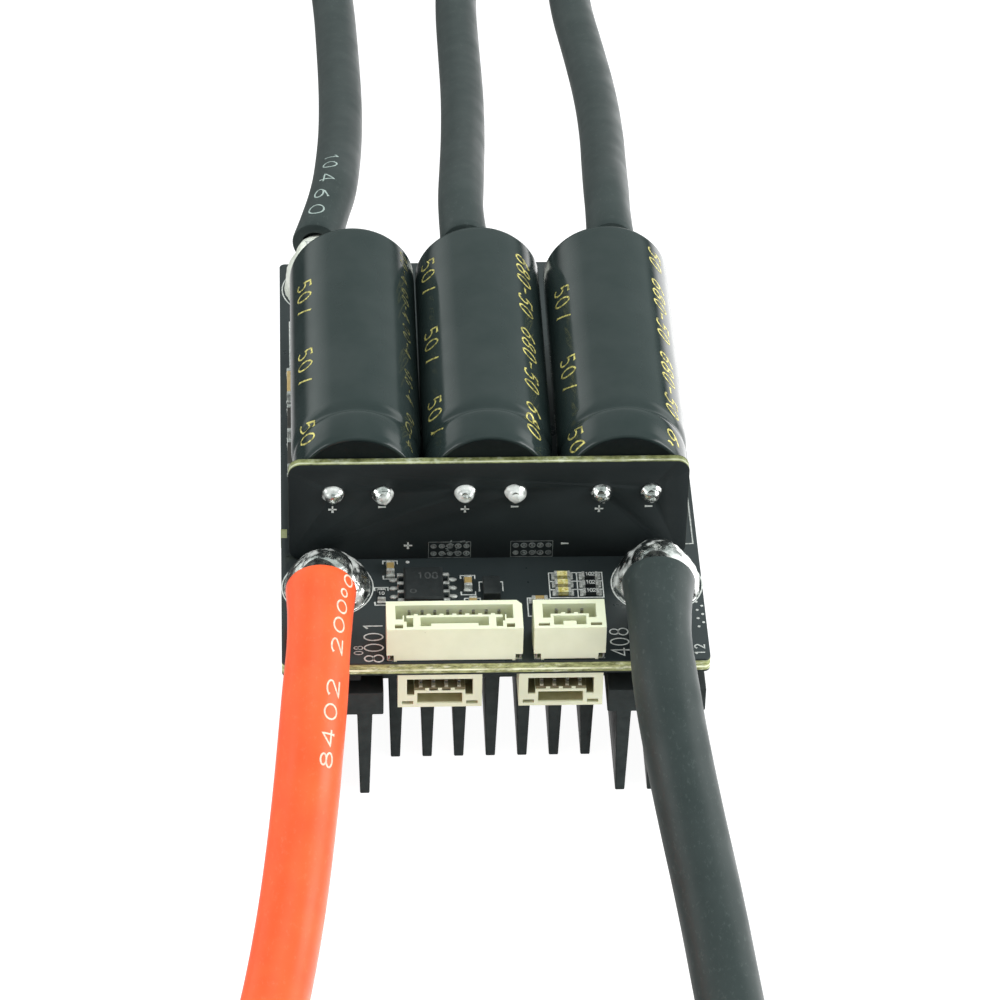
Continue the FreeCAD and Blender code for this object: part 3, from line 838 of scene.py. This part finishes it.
def strands(name, start, direction, r=2.0, length=9.0, twist=0.22, lobes=14, closed_end=0.6):
    """Twisted tinned strands as one lobed, tapering solid."""
    across = direction.cross(UP).normalized()
    lift = across.cross(direction)
    steps = lobes * 8
    bm = bmesh.new()
    rings = []
    for i in range(33):
        s = length * i / 32
        shrink = 1 - 0.28 * max(0.0, (s - length + closed_end) / closed_end) ** 2
        ring = []
        for k in range(steps):
            t = TURN * k / steps
            lobe = 1 - 0.09 * abs(math.sin(lobes * (t + twist * s) / 2)) ** 3
            ring.append((start + direction * s + (across * math.cos(t) + lift * math.sin(t))
                         * r * shrink * lobe) * MM)
        rings.append(ring)
    ring_surface(bm, rings)
    return add_piece(name + "_strands", bm, "tinned_metal", (name,), sharp=60)


def lead_print(name, line, glyphs, wide, slot, ink_material):
    """Glyphs of (character, distance along, angle, height) that read towards the joint."""
    r = line.diameter / 2
    strokes = []
    for character, middle, angle, height in glyphs:
        for stroke in GLYPHS[character]:
            strokes.append([(middle - (u - 0.3) * wide * height,
                             angle * r + (v - 0.5) * height) for u, v in stroke])
    printed(name + "_print", [(strokes, 0.17)], lambda u, v, h: line.on_skin(u, v / r, h), slot,
            ink_material, 0.015, 0.25)


def build_leads():
    lines = {name: Line(name) for name in ROUTES}
    for name, line in lines.items():
        skin = insulation(name, line)
        side = name.rsplit("_", 1)[-1]
        if side == "lead":
            far_end = "bare"
            tip, direction, _, _ = line.at(line.length / MM)
            pieces = [strands(name.replace("_lead", "_tinned_end"), tip / MM, direction)]
        else:
            far_end = "connector"
            pieces = [softened("bullet_plug_" + side, "gold_plate", 0.12),
                      softened("plug_sleeve_" + side, "shrink_tube", 0.12)]
        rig.cord(skin, exit=line.points[0], length=line.length, diameter=line.diameter * MM,
                far_end=far_end, stiffness="limp", lay="loose", path=line.points,
                with_pieces=pieces)
    keep("conductor_ends", "tinned_metal")
    glyphs = [("8", 19.3, -0.62, 1.3), ("4", 17.2, -0.62, 1.3), ("0", 14.7, -0.62, 1.35),
              ("2", 12.4, -0.64, 1.35), ("2", 8.2, -0.68, 1.3), ("0", 6.1, -0.7, 1.25),
              ("0", 4.2, -0.76, 1.2), ("0", 2.6, -0.8, 0.75), ("0", 0.95, -0.92, 1.1)]
    lead_print("positive_lead", lines["positive_lead"], glyphs, 1.9, "red_silicone", LEAD_INK)
    glyphs = [("1", 17.6, -0.22, 1.5), ("0", 14.9, -0.22, 1.55), ("4", 10.9, -0.22, 1.65),
              ("6", 6.9, -0.22, 1.65), ("0", 3.3, -0.22, 1.65)]
    lead_print("phase_lead_left", lines["phase_lead_left"], glyphs, 2.0, "black_silicone",
               PALE_INK)


# ---- camera, light and floor ----
def camera():
    """High in front of the supply end, a little to the left, through a long lens."""
    place = Vector((-18.77, -361.2, 305.2)) * MM
    aim = Vector((1.34, -8.0, 17.2)) * MM
    data = bpy.data.cameras.new("camera")
    data.lens = 161.67
    data.sensor_width = 36
    data.clip_start, data.clip_end = 0.01, 20
    cam = bpy.data.objects.new("camera", data)
    bpy.context.scene.collection.objects.link(cam)
    level = (aim - place).to_track_quat("-Z", "Y").to_matrix()
    roll = Matrix.Rotation(math.radians(1.4), 3, "Z")
    cam.matrix_world = Matrix.Translation(place) @ (level @ roll).to_4x4()
    bpy.context.scene.camera = cam


def area_light(name, place, aim, size, power, glossy=True):
    data = bpy.data.lights.new(name, "AREA")
    data.shape = "RECTANGLE"
    data.size, data.size_y = size
    data.energy = power
    lamp = bpy.data.objects.new(name, data)
    bpy.context.scene.collection.objects.link(lamp)
    lamp.location = place
    lamp.rotation_mode = "QUATERNION"
    lamp.rotation_quaternion = (Vector(aim) - Vector(place)).to_track_quat("-Z", "Y")
    lamp.visible_glossy = glossy


def world():
    """Cool white above the horizon. Below it, which only gloss sees, it is dark but for the
    bright floor behind, seen low and to the right."""
    made = bpy.data.worlds.new("studio")
    bpy.context.scene.world = made
    made.use_nodes = True
    f = Nodes(made.node_tree)
    x, y, z = f.split(f.node("TexCoord").outputs["Generated"])
    behind = f.ramp(y, 0, 1, 0.1, 0.4)
    right = f.both(f.ramp(z, 0, 1, -0.04, -0.22), f.ramp(x, 0, 1, 0.06, 0.3))
    low = f.ramp(z, 0, 0.3, -0.45, -0.58)
    below = f.ramp(f.both(f.either(right, low), behind), 0.05, 2.1, 0, 1)
    # a white wall to the right, and a paler one behind on the left
    east = f.both(f.ramp(x, 0, 1, 0.45, 0.65), f.ramp(y, 1, 0, 0.6, 0.7))
    west = f.both(f.ramp(x, 0, 0.4, -0.42, -0.6), f.ramp(y, 0, 1, 0.3, 0.45))
    height = f.both(f.ramp(z, 0, 1, -0.12, 0.02), f.ramp(z, 1, 0, 0.4, 0.6))
    walls = f.both(f.either(east, west), height)
    # the darker side that the camera stands on
    camera_side = f.both(f.ramp(y, 0, 0.6, -0.42, -0.55), f.ramp(z, 0, 1, 0.3, 0.45))
    sky = f.blend(camera_side, (0.53, 0.6, 0.585), (0.02, 0.03, 0.03))
    sky = f.blend(f.ramp(z, 0, 1, -0.02, 0.14), below, sky)
    background = f.tree.nodes["Background"]
    f.link(f.blend(walls, sky, (1.9, 2.0, 1.96)), background.inputs["Color"])


def floor():
    bm = bmesh.new()
    bmesh.ops.create_grid(bm, x_segments=1, y_segments=1, size=3)
    made = bpy.data.objects.new("floor", mesh_of("floor", bm))
    f = Finish("pale_floor", (0.3, 0.3, 0.3), 0.9, Emission_Strength=0.96)
    f.put("Emission Color", (1, 1, 1, 1))
    f.mottle(0.002, (0.31, 0.31, 0.31), (0.29, 0.29, 0.29))
    made.data.materials.append(f.material)
    bpy.context.scene.collection.objects.link(made)
    made.visible_glossy = False
    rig.stage(made)


def studio():
    target = (0, 0, 0.015)
    area_light("overhead", (0, 0.05, 0.8), target, (0.6, 0.6), 3.2, glossy=False)
    area_light("right", (0.6, -0.15, 0.3), target, (0.4, 0.4), 2.05)
    area_light("left", (-0.6, -0.2, 0.3), target, (0.4, 0.4), 1.2)
    bpy.context.scene.view_settings.view_transform = "Standard"


# ---- capacitors ----
SLEEVE = rounded([(5.0, 0.34), (5.6, 0.1), (5.86, 0.16), (6.1, 0.7), (6.27, 1.9), (6.36, 3.1),
                  (6.34, 3.8), (6.16, 4.4), (6.42, 5.0), (CAP_RADIUS, 5.6), (CAP_RADIUS, 34.5),
                  (6.15, 34.93), (4.9, 34.96)], 0.45, 5)


def sleeve_radius(y):
    outer = [(p[1], p[0]) for p in SLEEVE if p[0] > 5.5]
    for (y0, r0), (y1, r1) in zip(outer, outer[1:]):
        if y0 <= y <= y1 and y1 > y0:
            return r0 + (r1 - r0) * (y - y0) / (y1 - y0)
    return CAP_RADIUS


def build_capacitors():
    for side, x in zip(SIDES, CAP_XS):
        foot = (x, RISER_BACK, CAP_Z)
        long_run = [p for p in SLEEVE if p[1] <= 6.2]
        long_run += [(CAP_RADIUS, 6.2 + 28.2 * i / 24) for i in range(1, 24)]
        long_run += [p for p in SLEEVE if p[1] >= 34.1]
        inner = [(4.9, 34.8), (6.3, 34.8), (6.3, 6.0), (6.06, 4.3), (6.1, 2.4), (5.85, 0.8),
                 (5.0, 0.5)]
        add_piece("capacitor_sleeve_" + side + "_film", turned(long_run + inner, foot, 128),
                  "sleeve_film", ("capacitor_sleeve_" + side,))
        base = [(0.02, 34.79)] + [(4.95 * i / 26, 34.79) for i in range(1, 27)]
        shell = [(6.2, 34.7), (6.25, 34.5), (6.25, 6.0), (6.0, 4.3), (6.0, 2.4), (5.75, 0.9),
                 (5.4, 0.42), (5.0, 0.42), (5.0, 30.0), (0.02, 30.0)]

        def vent(px, pz, y):
            if y < 34.7 or math.hypot(px, pz) > 4.0:
                return 0.0
            near = min(abs(px), abs(pz))
            return -0.16 * max(0.0, 1 - near / 0.32)

        add_piece("capacitor_can_" + side + "_shell", turned(base + shell, foot, 160, dent=vent),
                  "bare_aluminium", ("capacitor_can_" + side,))
        # A thin black disc just in front of the sleeve's rolled lip: painted shade in the gap at the capacitor's foot.
        shade_disc = [(0.02, 0.04), (5.6, 0.04), (5.6, 0.09), (0.02, 0.09)]
        add_piece("capacitor_shade_disc_" + side, turned(shade_disc, foot, 96), "bung_rubber")
        build_cap_print(side, x)
    keep("capacitor_bungs", "bung_rubber")
    keep("capacitor_windings", "foil_winding")


# Starts along the sleeve and degrees from the top, of the voltage and of the long mark
CAP_MARKS = {
    "left": ((-5.4, 6.3, 17.9, 29.6), -51, (), 0),
    "middle": ((2.3, 14.1, 25.6), -55, (-9.2, 3.2, 15.8, 28.1), 45),
    "right": ((-4.2, 7.5, 19.3, 31.0), -52, (-5.1, 7.2, 19.6, 32.1), 50),
}


def build_cap_print(side, x):
    """Gold marks in two bands: they read towards the upright board, tops to the right."""
    def lay(u, v, h):
        y = CAP_LENGTH - u
        r = sleeve_radius(y) + h
        t = v / CAP_RADIUS
        return Vector((x + r * math.sin(t), RISER_BACK + y, CAP_Z + r * math.cos(t))) * MM

    def band(characters, starts, advance, height, middle, slant):
        out = []
        for start in starts:
            for stroke in text(characters, height, advance, (start, 0), slant):
                out.append([(u, v + CAP_RADIUS * math.radians(middle) - height / 2)
                            for u, v in stroke if u < CAP_LENGTH - 0.8])
        return [s for s in out if len(s) > 1]

    volt_starts, volt_angle, long_starts, long_angle = CAP_MARKS[side]
    volts = band("50", volt_starts, 1.9, 2.1, volt_angle, 0.3)
    volts += band("/", [u + 4.5 for u in volt_starts], 1.9, 2.1, volt_angle, 0.2)
    groups = [(volts, 0.2), (band("680-50", long_starts, 1.7, 1.85, long_angle, 0.3), 0.21)]
    groups = [([s for s in strokes if min(u for u, _ in s) > 0.5], w) for strokes, w in groups]
    printed("capacitor_print_" + side, groups, lay, "gold_plate", GOLD_INK, 0.015, 0.35)
    if side == "left":
        small = band("00-4", (1.2, 7.4, 13.6, 21.2, 28.4), 1.35, 1.2, 56, 0.4)
        printed("capacitor_small_print", [(small, 0.13)], lay, "gold_plate", PALE_GOLD_INK,
                0.015, 0.35)


# ---- solder ----
def blob(name, parts, seed, voxel=0.14, rough=0.12, stands_for=(), smooth=6):
    """Ellipsoids run together. parts are (centre, radii, tilt) in millimetres."""
    bm = bmesh.new()
    for centre, radii, tilt in parts:
        ellipsoid(bm, centre, radii, tilt)
    piece = add_piece(name, bm, "solder", stands_for, sharp=None)
    remesh = piece.modifiers.new("remesh", "REMESH")
    remesh.mode = "VOXEL"
    remesh.voxel_size = voxel * MM
    bake(piece)
    relax = piece.modifiers.new("relax", "SMOOTH")
    relax.iterations = smooth
    relax.factor = 0.6
    bake(piece)
    shift = Vector((seed * 7.1, seed * 3.3, 0))
    normals = [n.vector.copy() for n in piece.data.vertex_normals]
    for v, normal in zip(piece.data.vertices, normals):
        wave = noise.noise(v.co / MM * 0.55 + shift) + 0.5 * noise.noise(v.co / MM * 1.6 + shift)
        v.co += normal * wave * rough * MM
    piece.data.polygons.foreach_set("use_smooth", [True] * len(piece.data.polygons))
    return piece


def flatten(piece, axis, limit, press=max):
    """Presses what passes a plane back onto it, so a blob sits on its board."""
    for v in piece.data.vertices:
        v.co[axis] = press(v.co[axis], limit * MM)


def pad_joint(name, x, y, r, h, end, seed, stands_for=(), more=()):
    """Solder heaped on a pad and up the strands that go into it."""
    parts = [((x, y, BOARD_TOP - 0.3), (r * wide, r * wide, h * high), 0)
             for wide, high in ((1.0, 0.76), (0.95, 0.9), (0.84, 0.99))]
    parts += [((x + end[0], y + end[1], BOARD_TOP + end[2]), end[3:6], end[6]), *more]
    piece = blob(name, parts, seed, voxel=0.16, stands_for=stands_for)
    flatten(piece, 2, BOARD_TOP + 0.005)
    return piece


def build_solder():
    lead_end = (0.0, -1.6, 3.6, 2.5, 3.0, 1.9, -0.15)
    pad_joint("positive_solder_heap", -16.35, -21.45, 4.35, 4.6, lead_end, 1,
              ("positive_solder_joint",))
    lead_end = (0.0, -1.2, 3.6, 2.7, 3.2, 2.1, -0.1)
    pad_joint("negative_solder_heap", 16.35, -21.45, 4.4, 5.35, lead_end, 2,
              ("negative_solder_joint",))
    for i, (side, x) in enumerate(zip(SIDES, (-16.1, -0.6, 14.9))):
        lead_end = (-0.6 if i == 0 else 0.0, 0.6, 4.2, 2.4, 2.2, 2.0, 0.1)
        flank = [((x - 0.9, 27.8, BOARD_TOP + 1.9), (3.2, 3.0, 3.9), 0),
                 ((x - 0.8, 28.7, BOARD_TOP + 4.4), (2.25, 1.4, 2.1), 0)] if i == 0 else []
        heap = pad_joint("phase_solder_heap_" + side, x, 28.2, 4.25, 5.4, lead_end, 3 + i,
                         ("phase_solder_joints",) if i == 0 else (), flank)
        # the rear heaps take the near-white solder: painted highlight
        heap.data.materials[0] = SOLDER_PAINTED_HIGHLIGHT
    joints = ((-15.74, 8.3, 0), (-10.81, 8.2, 0.5), (-2.63, 8.25, 0.1), (2.34, 8.25, -0.1),
              (10.85, 8.1, 0.4), (15.80, 8.15, 0.2))
    for i, (x, z, lean) in enumerate(joints):
        y, z = RISER_FRONT, BOARD_TOP + z + 0.15
        parts = [((x, y, z), (1.12, 0.75, 1.04), 0),
                 ((x + 0.06 * lean, y - 0.35, z - 0.02), (0.9, 0.75, 0.86), 0),
                 ((x + 0.5 * lean, y - 0.15, z - 0.85), (0.28, 0.35, 0.36), 0)]
        piece = blob("capacitor_joint_" + str(i + 1), parts, 11 + i, voxel=0.08, rough=0.11,
                     smooth=3, stands_for=("capacitor_lead_joints",) if i == 0 else ())
        flatten(piece, 1, RISER_FRONT + 0.02, press=min)
    keep("capacitor_leads", "tinned_metal")
    for i, x in enumerate((-4.3, 3.9)):
        parts = [((x + dx, RISER_BACK + 0.15, BOARD_TOP), (1.6, 1.1, 1.1), 0)
                 for dx in (-2.8, -1.0, 0.9, 2.6)]
        piece = blob("board_fillet_" + str(i + 1), parts, 20 + i, voxel=0.12,
                     stands_for=("board_joints",) if i == 0 else ())
        flatten(piece, 2, BOARD_TOP + 0.005)
        flatten(piece, 1, RISER_BACK + 0.005)


# ---- boards ----
def bracket(x0, x1, y0, y1, tick=0.5):
    """A printed frame with open sides around a small part."""
    return [[(x0, y1 - tick), (x0, y1), (x1, y1), (x1, y1 - tick)],
            [(x0, y0 + tick), (x0, y0), (x1, y0), (x1, y0 + tick)]]


def build_boards():
    softened("main_board", "board_laminate", 0.03, 1)
    softened("capacitor_board", "board_laminate", 0.04, 1, material=RISER_BOARD_PAINTED_SHADE)
    rings = [arc(x, y, 4.52, 4.52, 0, 360, 72) for x, y in
             ((-16.32, -21.4), (16.37, -21.45), (-16.1, 28.2), (-0.6, 28.2), (14.9, 28.2))]
    frames = (bracket(-10.77, -9.34, -20.24, -17.46) + bracket(-11.67, -10.34, -24.22, -21.54)
              + bracket(-3.10, -1.68, -22.8, -19.84) + bracket(-2.8, -1.25, -26.2, -23.35)
              + [[(-1.28, -22.3), (-1.28, -20.87), (1.05, -20.87), (1.05, -22.3)]]
              + [[(3.95, -23.43), (3.4, -23.43), (3.4, -26.17), (3.95, -26.17)]])
    grid = [[(5.69, -19.6), (11.0, -19.6), (11.0, -23.42), (5.69, -23.42), (5.69, -19.6)],
            [(8.47, -19.6), (8.47, -23.42)], [(5.69, -20.92), (11.0, -20.92)],
            [(5.69, -22.18), (11.0, -22.18)]]
    edge = [[(20.45, 24.0), (20.45, -15.3), (19.65, -15.3), (19.65, 24.0), (20.45, 24.0)],
            [(-19.85, 13.3), (-19.85, 22.5)]]
    labels = [(upright_text(*row), width) for *row, width in (
        ("8001", 1.85, 1.6, -11.0, -32.75, 0.14), ("408", 1.8, 1.5, 13.05, -32.2, 0.13),
        ("12", 0.95, 0.9, 20.4, -32.2, 0.15), ("08", 0.85, 0.75, -13.0, -31.6, 0.09))]
    dots = [arc(-8.3, -17.65, 0.12, 0.12, 0, 360, 10)]
    dots += [arc(20.1 + 0.5 * (i % 2), -24.3 - 0.62 * i, 0.07, 0.07, 0, 360, 8) for i in range(7)]
    printed("silkscreen", [(rings, 0.13), (frames + grid, 0.11), (edge, 0.14), *labels,
                           (dots, 0.14)], on_board, "board_laminate", SILK, 0.02)
    signs = ((-15.75, 6.45, "+"), (-10.85, 6.7, "-"), (-2.63, 6.32, "+"), (2.29, 6.57, "-"),
             (10.68, 6.19, "+"), (15.6, 6.43, "-"), (-8.25, 1.7, "+"), (7.4, 1.75, "-"))
    marks = [s for x, z, sign in signs for s in text(sign, 1.5, 0, (x - 0.45, z - 0.75))]
    printed("riser_marks", [(marks, 0.15)], on_riser, "board_laminate", SILK, 0.02)
    nubs = ((-20.93, -20.3, -13.65, -12.3), (20.3, 20.93, 25.0, 26.6))
    for i, (x0, x1, y0, y1) in enumerate(nubs):
        add_piece("bare_nub_" + str(i + 1), block((x0, y0, 15.9), (x1, y1, BOARD_TOP + 0.02)),
                  "board_laminate", material=BARE_GLASS, sharp=20)
    build_via_fields()


def build_via_fields():
    """Two fields of filled vias at the foot of the upright board."""
    random.seed(4)
    bm = bmesh.new()
    for x0 in (-6.1, 2.1):
        for i in range(5):
            for j in range(2):
                x, z = x0 + 0.4 + 0.82 * i, 0.62 + 0.95 * j
                r = 0.27 + random.uniform(-0.03, 0.03)
                for ring_r, w in ((r, 0.12), (0.07, 0.12)):
                    ribbon(bm, arc(x, z, ring_r, ring_r * 0.9, 0, 360, 12), w, on_riser, 0.035)
        for _ in range(14 if x0 < 0 else 5):
            x, z = x0 + random.uniform(1.4, 3.8), random.uniform(0.4, 2.3)
            dx, dz = random.uniform(-0.5, 0.5), random.uniform(-0.3, 0.3)
            ribbon(bm, [(x, z), (x + dx, z + dz)], random.uniform(0.04, 0.11), on_riser, 0.04)
        frame_line = [(x0 - 0.1, 0.1), (x0 + 4.1, 0.1), (x0 + 4.1, 2.1), (x0 - 0.1, 2.1),
                      (x0 - 0.1, 0.1)]
        ribbon(bm, frame_line, 0.05, on_riser, 0.02)
    add_piece("via_fields", bm, "tinned_metal", material=VIA_METAL)


# ---- small parts on the board ----
def chip_piece(name, places, size, end, slot, along_x=False, stands_for=(), material=None):
    """Small two-ended parts: fired or moulded bodies, and the metal ends with their solder."""
    w, l, h = size
    bodies, ends = bmesh.new(), bmesh.new()
    for x, y in places:
        def put(bm, x0, x1, y0, y1, z0, z1):
            if along_x:
                x0, x1, y0, y1 = y0, y1, x0, x1
            block((x + x0, y + y0, BOARD_TOP + z0), (x + x1, y + y1, BOARD_TOP + z1), bm)

        inner = l / 2 - end * 0.8
        put(bodies, -w / 2 + 0.03, w / 2 - 0.03, -inner, inner, 0.03, h - 0.02)
        for side in (-1, 1):
            put(ends, -w / 2, w / 2, *span(side, l / 2, l / 2 - end), 0.0, h)
            put(ends, -w / 2 - 0.05, w / 2 + 0.05, *span(side, l / 2 - 0.05, l / 2 + 0.28), 0.0,
                h * 0.35)
    bevelled(add_piece(name + "_bodies", bodies, slot, stands_for, material, sharp=None), 0.05)
    bevelled(add_piece(name + "_ends", ends, "tinned_metal", material=BRIGHT_END, sharp=None),
             0.09, 3)


def chip_mark(node, x, y, characters, height, advance, dot):
    """Faint digits on the top of a moulded body, and its corner dot."""
    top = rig.box(node)[1][2] / MM
    strokes = text(characters, height, advance, (x, y))
    strokes.append(arc(x + dot[0], y + dot[1], dot[2], dot[2], 0, 360, 20))
    printed(node + "_mark", [(strokes, height * 0.16)],
            lambda u, v, h: Vector((u, v, top + h)) * MM, "chip_resin", GREY_INK, 0.008)


def build_board_parts():
    resistor, ceramic_chip = (0.8, 1.6, 0.45), (0.8, 1.6, 0.8)
    chip_piece("chip_capacitor", [(-10.05, -19.0), (-2.4, -21.4), (-2.0, -24.6), (4.6, -25.2)],
               ceramic_chip, 0.4, "ceramic", stands_for=("chip_capacitors",))
    chip_piece("chip_resistor", [(9.75, y) for y in LED_ROWS], resistor, 0.3, "chip_resin", True,
               ("chip_resistors",))
    chip_piece("chip_resistor_left", [(-11.0, -22.9)], resistor, 0.3, "chip_resin")
    chip_piece("side_capacitor", [(4.6, -24.05)], (0.6, 1.6, 0.7), 0.4, "ceramic", True)
    chip_piece("status_led", [(7.0, y) for y in LED_ROWS], (0.8, 1.6, 0.6), 0.32, "led_lens",
               True, ("status_leds",))
    chip_piece("bus_capacitor", [(-18.95, 10.6)], (2.5, 4.6, 1.2), 0.6, "ceramic",
               stands_for=("bus_capacitors",), material=TAN)
    dark = [(-18.95, 4.4), (-18.95, -1.4), (18.95, 10.6), (18.95, 4.4)]
    chip_piece("dark_bus_capacitor", dark, (2.5, 4.6, 1.2), 0.6, "ceramic", material=DARK_CERAMIC)
    marks = bmesh.new()
    strokes = [s for y in LED_ROWS for s in text("102", 0.48, 0.31, (9.31, y - 0.24))]
    for stroke in strokes + text("10", 0.42, 0.32, (-11.3, -23.1)):
        ribbon(marks, stroke, 0.07, lambda u, v, h: on_board(u, v, 0.43 + h), 0.01)
    add_piece("resistor_digits", marks, "chip_resin", material=SILK)
    softened("diode", "chip_resin", 0.1)
    softened("transceiver", "chip_resin", 0.06)
    softened("transceiver_legs", "tinned_metal", 0.02, 1, material=BRIGHT_END)
    chip_mark("transceiver", -7.4, -21.9, "108", 0.9, 0.72, (-0.5, -1.9, 0.28))
    softened("regulator", "chip_resin", 0.06)
    softened("regulator_legs", "tinned_metal", 0.02, 1)
    softened("microcontroller", "chip_resin", 0.08)
    softened("microcontroller_legs", "tinned_metal", 0.02, 1)
    chip_mark("microcontroller", -3.0, 2.2, "407168", 1.1, 1.0, (-1.0, -4.2, 0.4))
    softened("gate_driver", "chip_resin", 0.08)
    softened("gate_driver_legs", "tinned_metal", 0.02, 1)
    softened("crystal", "tinned_metal", 0.15, 3)
    softened("power_inductor", "ferrite", 0.35, 3)
    leg_solder()


def leg_solder():
    """Small fillets of solder at the feet of the chip with legs on two sides."""
    bm = bmesh.new()
    for side in (-1, 1):
        for i in range(4):
            x, y = -6.85 + side * 2.95, -22.4 + (i - 1.5) * 1.27
            ellipsoid(bm, (x, y, BOARD_TOP + 0.03), (0.42, 0.3, 0.17), segments=(16, 8))
    add_piece("leg_fillets", bm, "solder", material=BRIGHT_END, sharp=None)


# ---- parts under the board ----
def build_power_stage():
    softened("heatsink", "anodised_aluminium", 0.12, 2)
    softened("thermal_pad", "pad_silicone", 0.15, 2)
    softened("mosfet_packages", "chip_resin", 0.05)
    softened("mosfet_tabs", "tinned_metal", 0.03, 1)
    softened("shunt_resistors", "tinned_metal", 0.12)
    softened("surge_suppressor", "chip_resin", 0.1)


# ---- wire headers ----
TALL, FLOOR = 4.1, 0.9              # a header's height, and the floor inside it
HEADERS = (                         # name, pins, x, and whether it lies under the board
    ("comm_header", 8, -4.1, False), ("ppm_header", 3, 7.1, False),
    ("can_header_left", 4, -5.5, True), ("can_header_right", 4, 6.35, True))


def header_boxes(pins, lying):
    """Boxes of a locking wire header: X across, latch side at y = 0, mouth at z = TALL."""
    wide = pins > 4
    row = (pins - 1) * PITCH
    half = row / 2 + 2.25
    recess = row / 2 + 1.35
    shroud = row / 2 + (0.66 if wide else 0.62)
    latch = row / 2 - 1.05 if wide else row / 2 + 0.33
    boxes = [(True, (-half, half), (0, 4.25), (0, TALL))]
    if not lying:
        boxes.append((False, (-half + 1.0, half - 1.0), (0, 4.25), (0, 0.13)))
    boxes += [(False, (-recess, recess), (1.55, 3.6), (FLOOR, TALL)),
              (True, (-shroud, shroud), (0.5, 2.12), (0, TALL)),
              (False, (-latch, latch), (0.5, 1.82), (FLOOR, TALL))]
    for i in range(pins - 1):
        x = (i - (pins - 2) / 2) * PITCH
        boxes.append((True, (x - 0.2, x + 0.2), (2.12, 2.38), (FLOOR, TALL - 0.05)))
    if wide:
        boxes.append((True, (-2.3, 2.3), (0.5, 1.05), (FLOOR, TALL - 0.15)))
        for side in (-1, 1):
            boxes += [(False, span(side, half - 2.6, half - 1.95), (0.4, 1.75), (FLOOR, TALL)),
                      (False, span(side, half - 1.95, half - 1.72), (1.2, 2.12), (2.6, TALL))]
        boxes.append((True, (half - 0.5, half), (3.65, 4.25), (0, TALL)))
    if pins == 3:
        boxes.append((True, (-0.64, 0.64), (0.5, 1.45), (FLOOR, 3.75)))
    outer, inner, slot = (1.6, 0.8, (0.22, 0.8)) if wide else (1.52, 0.42, (0.36, 0.78))
    for side in (-1, 1):
        boxes.append((False, span(side, half - outer, half - inner), slot, (FLOOR, TALL)))
        if lying:
            boxes.append((False, span(side, half, half - 0.7), (3.45, 4.25), (0.8, 2.4)))
        else:
            boxes.append((False, span(side, half, half - 0.7), (-0.1, 1.5), (0, 0.8)))
    return boxes, half


def build_header(name, pins, middle, lying):
    """A header's shell and pins, dark plates of painted shade in its openings, and the contacts of a lying header,
    pale with painted shine.
    """
    boxes, half = header_boxes(pins, lying)
    row = (pins - 1) * PITCH / 2

    def place(a, b, c):
        if lying:
            return Vector((middle + a, -28.7 - c, 11.35 + b)) * MM
        return Vector((middle + a, -32.7 + b, BOARD_TOP + c)) * MM

    def keyed(a, b, c):
        """The widest header has one corner cut off."""
        if pins > 4 and a > half - 0.01 and b > 4.24:
            a, b = a - 0.25, b - 0.3
        return place(a, b, c)

    # A plate laid in an opening. The dark ones are painted shade; the contacts are real, with painted shine.
    def painted_light_plate(part, *ranges, tone, slot="header_nylon"):
        bm = bmesh.new()
        for (x0, x1), (b0, b1), (c0, c1) in ranges:
            p, q = place(x0, b0, c0) / MM, place(x1, b1, c1) / MM
            block([min(k) for k in zip(p, q)], [max(k) for k in zip(p, q)], bm)
        add_piece(name + "_" + part, bm, slot, material=tone, sharp=20)

    bevelled(add_piece(name + "_shell", carved(boxes, keyed), "header_nylon",
                       (name + "_housing",), sharp=None), 0.05)
    # the upright headers' pins take the darker metal: painted shade
    softened(name + "_pins", "tinned_metal", 0.05, material=None if lying else PIN_METAL_PAINTED_SHADE)
    # dark plates on the back walls of the windows: painted shade
    windows = [ranges for fill, *ranges in boxes
               if not fill and ranges[2][0] == FLOOR and ranges[1][1] <= 0.8]
    painted_light_plate("window_walls", *[((a + 0.01, b - 0.01), (c1 - 0.03, c1 + 0.02), (1.0, TALL - 0.12))
                             for (a, b), (_, c1), _ in windows], tone=NYLON_PAINTED_SHADE)
    if not lying:
        return
    # dark plates on the bed, roof and side recesses of a lying header: painted shade
    painted_light_plate("bed", ((-row - 0.58, row + 0.58), (2.1, 2.4), (1.0, 3.97)), tone=NYLON_PAINTED_DEEP_SHADE)
    painted_light_plate("roof", ((-row - 1.33, row + 1.33), (3.56, 3.62), (1.0, 3.95)), tone=NYLON_PAINTED_DEEP_SHADE)
    painted_light_plate("recess_beds", *[(span(side, row + 0.63, row + 1.34), (1.5, 1.6), (1.0, 3.95))
                            for side in (-1, 1)], tone=NYLON_PAINTED_DEEP_SHADE)
    painted_light_plate("slot_floor", ((-row - 0.31, row + 0.31), (0.48, 0.53), (1.0, 3.9)), tone=NYLON_PAINTED_SHADE)
    # real contact strips, with a pale colour that paints their shine
    contacts = [k * PITCH - row for k in range(pins)]
    painted_light_plate("contacts", *[((x - 0.18, x + 0.18), (2.38, 2.62), (1.0, 3.92)) for x in contacts],
           tone=CONTACT_PAINTED_SHINE, slot="tinned_metal")


camera()
world()
floor()
studio()
build_leads()
build_capacitors()
build_solder()
build_boards()
build_board_parts()
build_power_stage()
for header in HEADERS:
    build_header(*header)
softened("header_tabs", "tinned_metal", 0.03, 1)

with open("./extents.json", "w") as out:
    json.dump({"cad": [list(p) for p in cad_box], "visual": [list(p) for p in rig.bounds()]}, out)
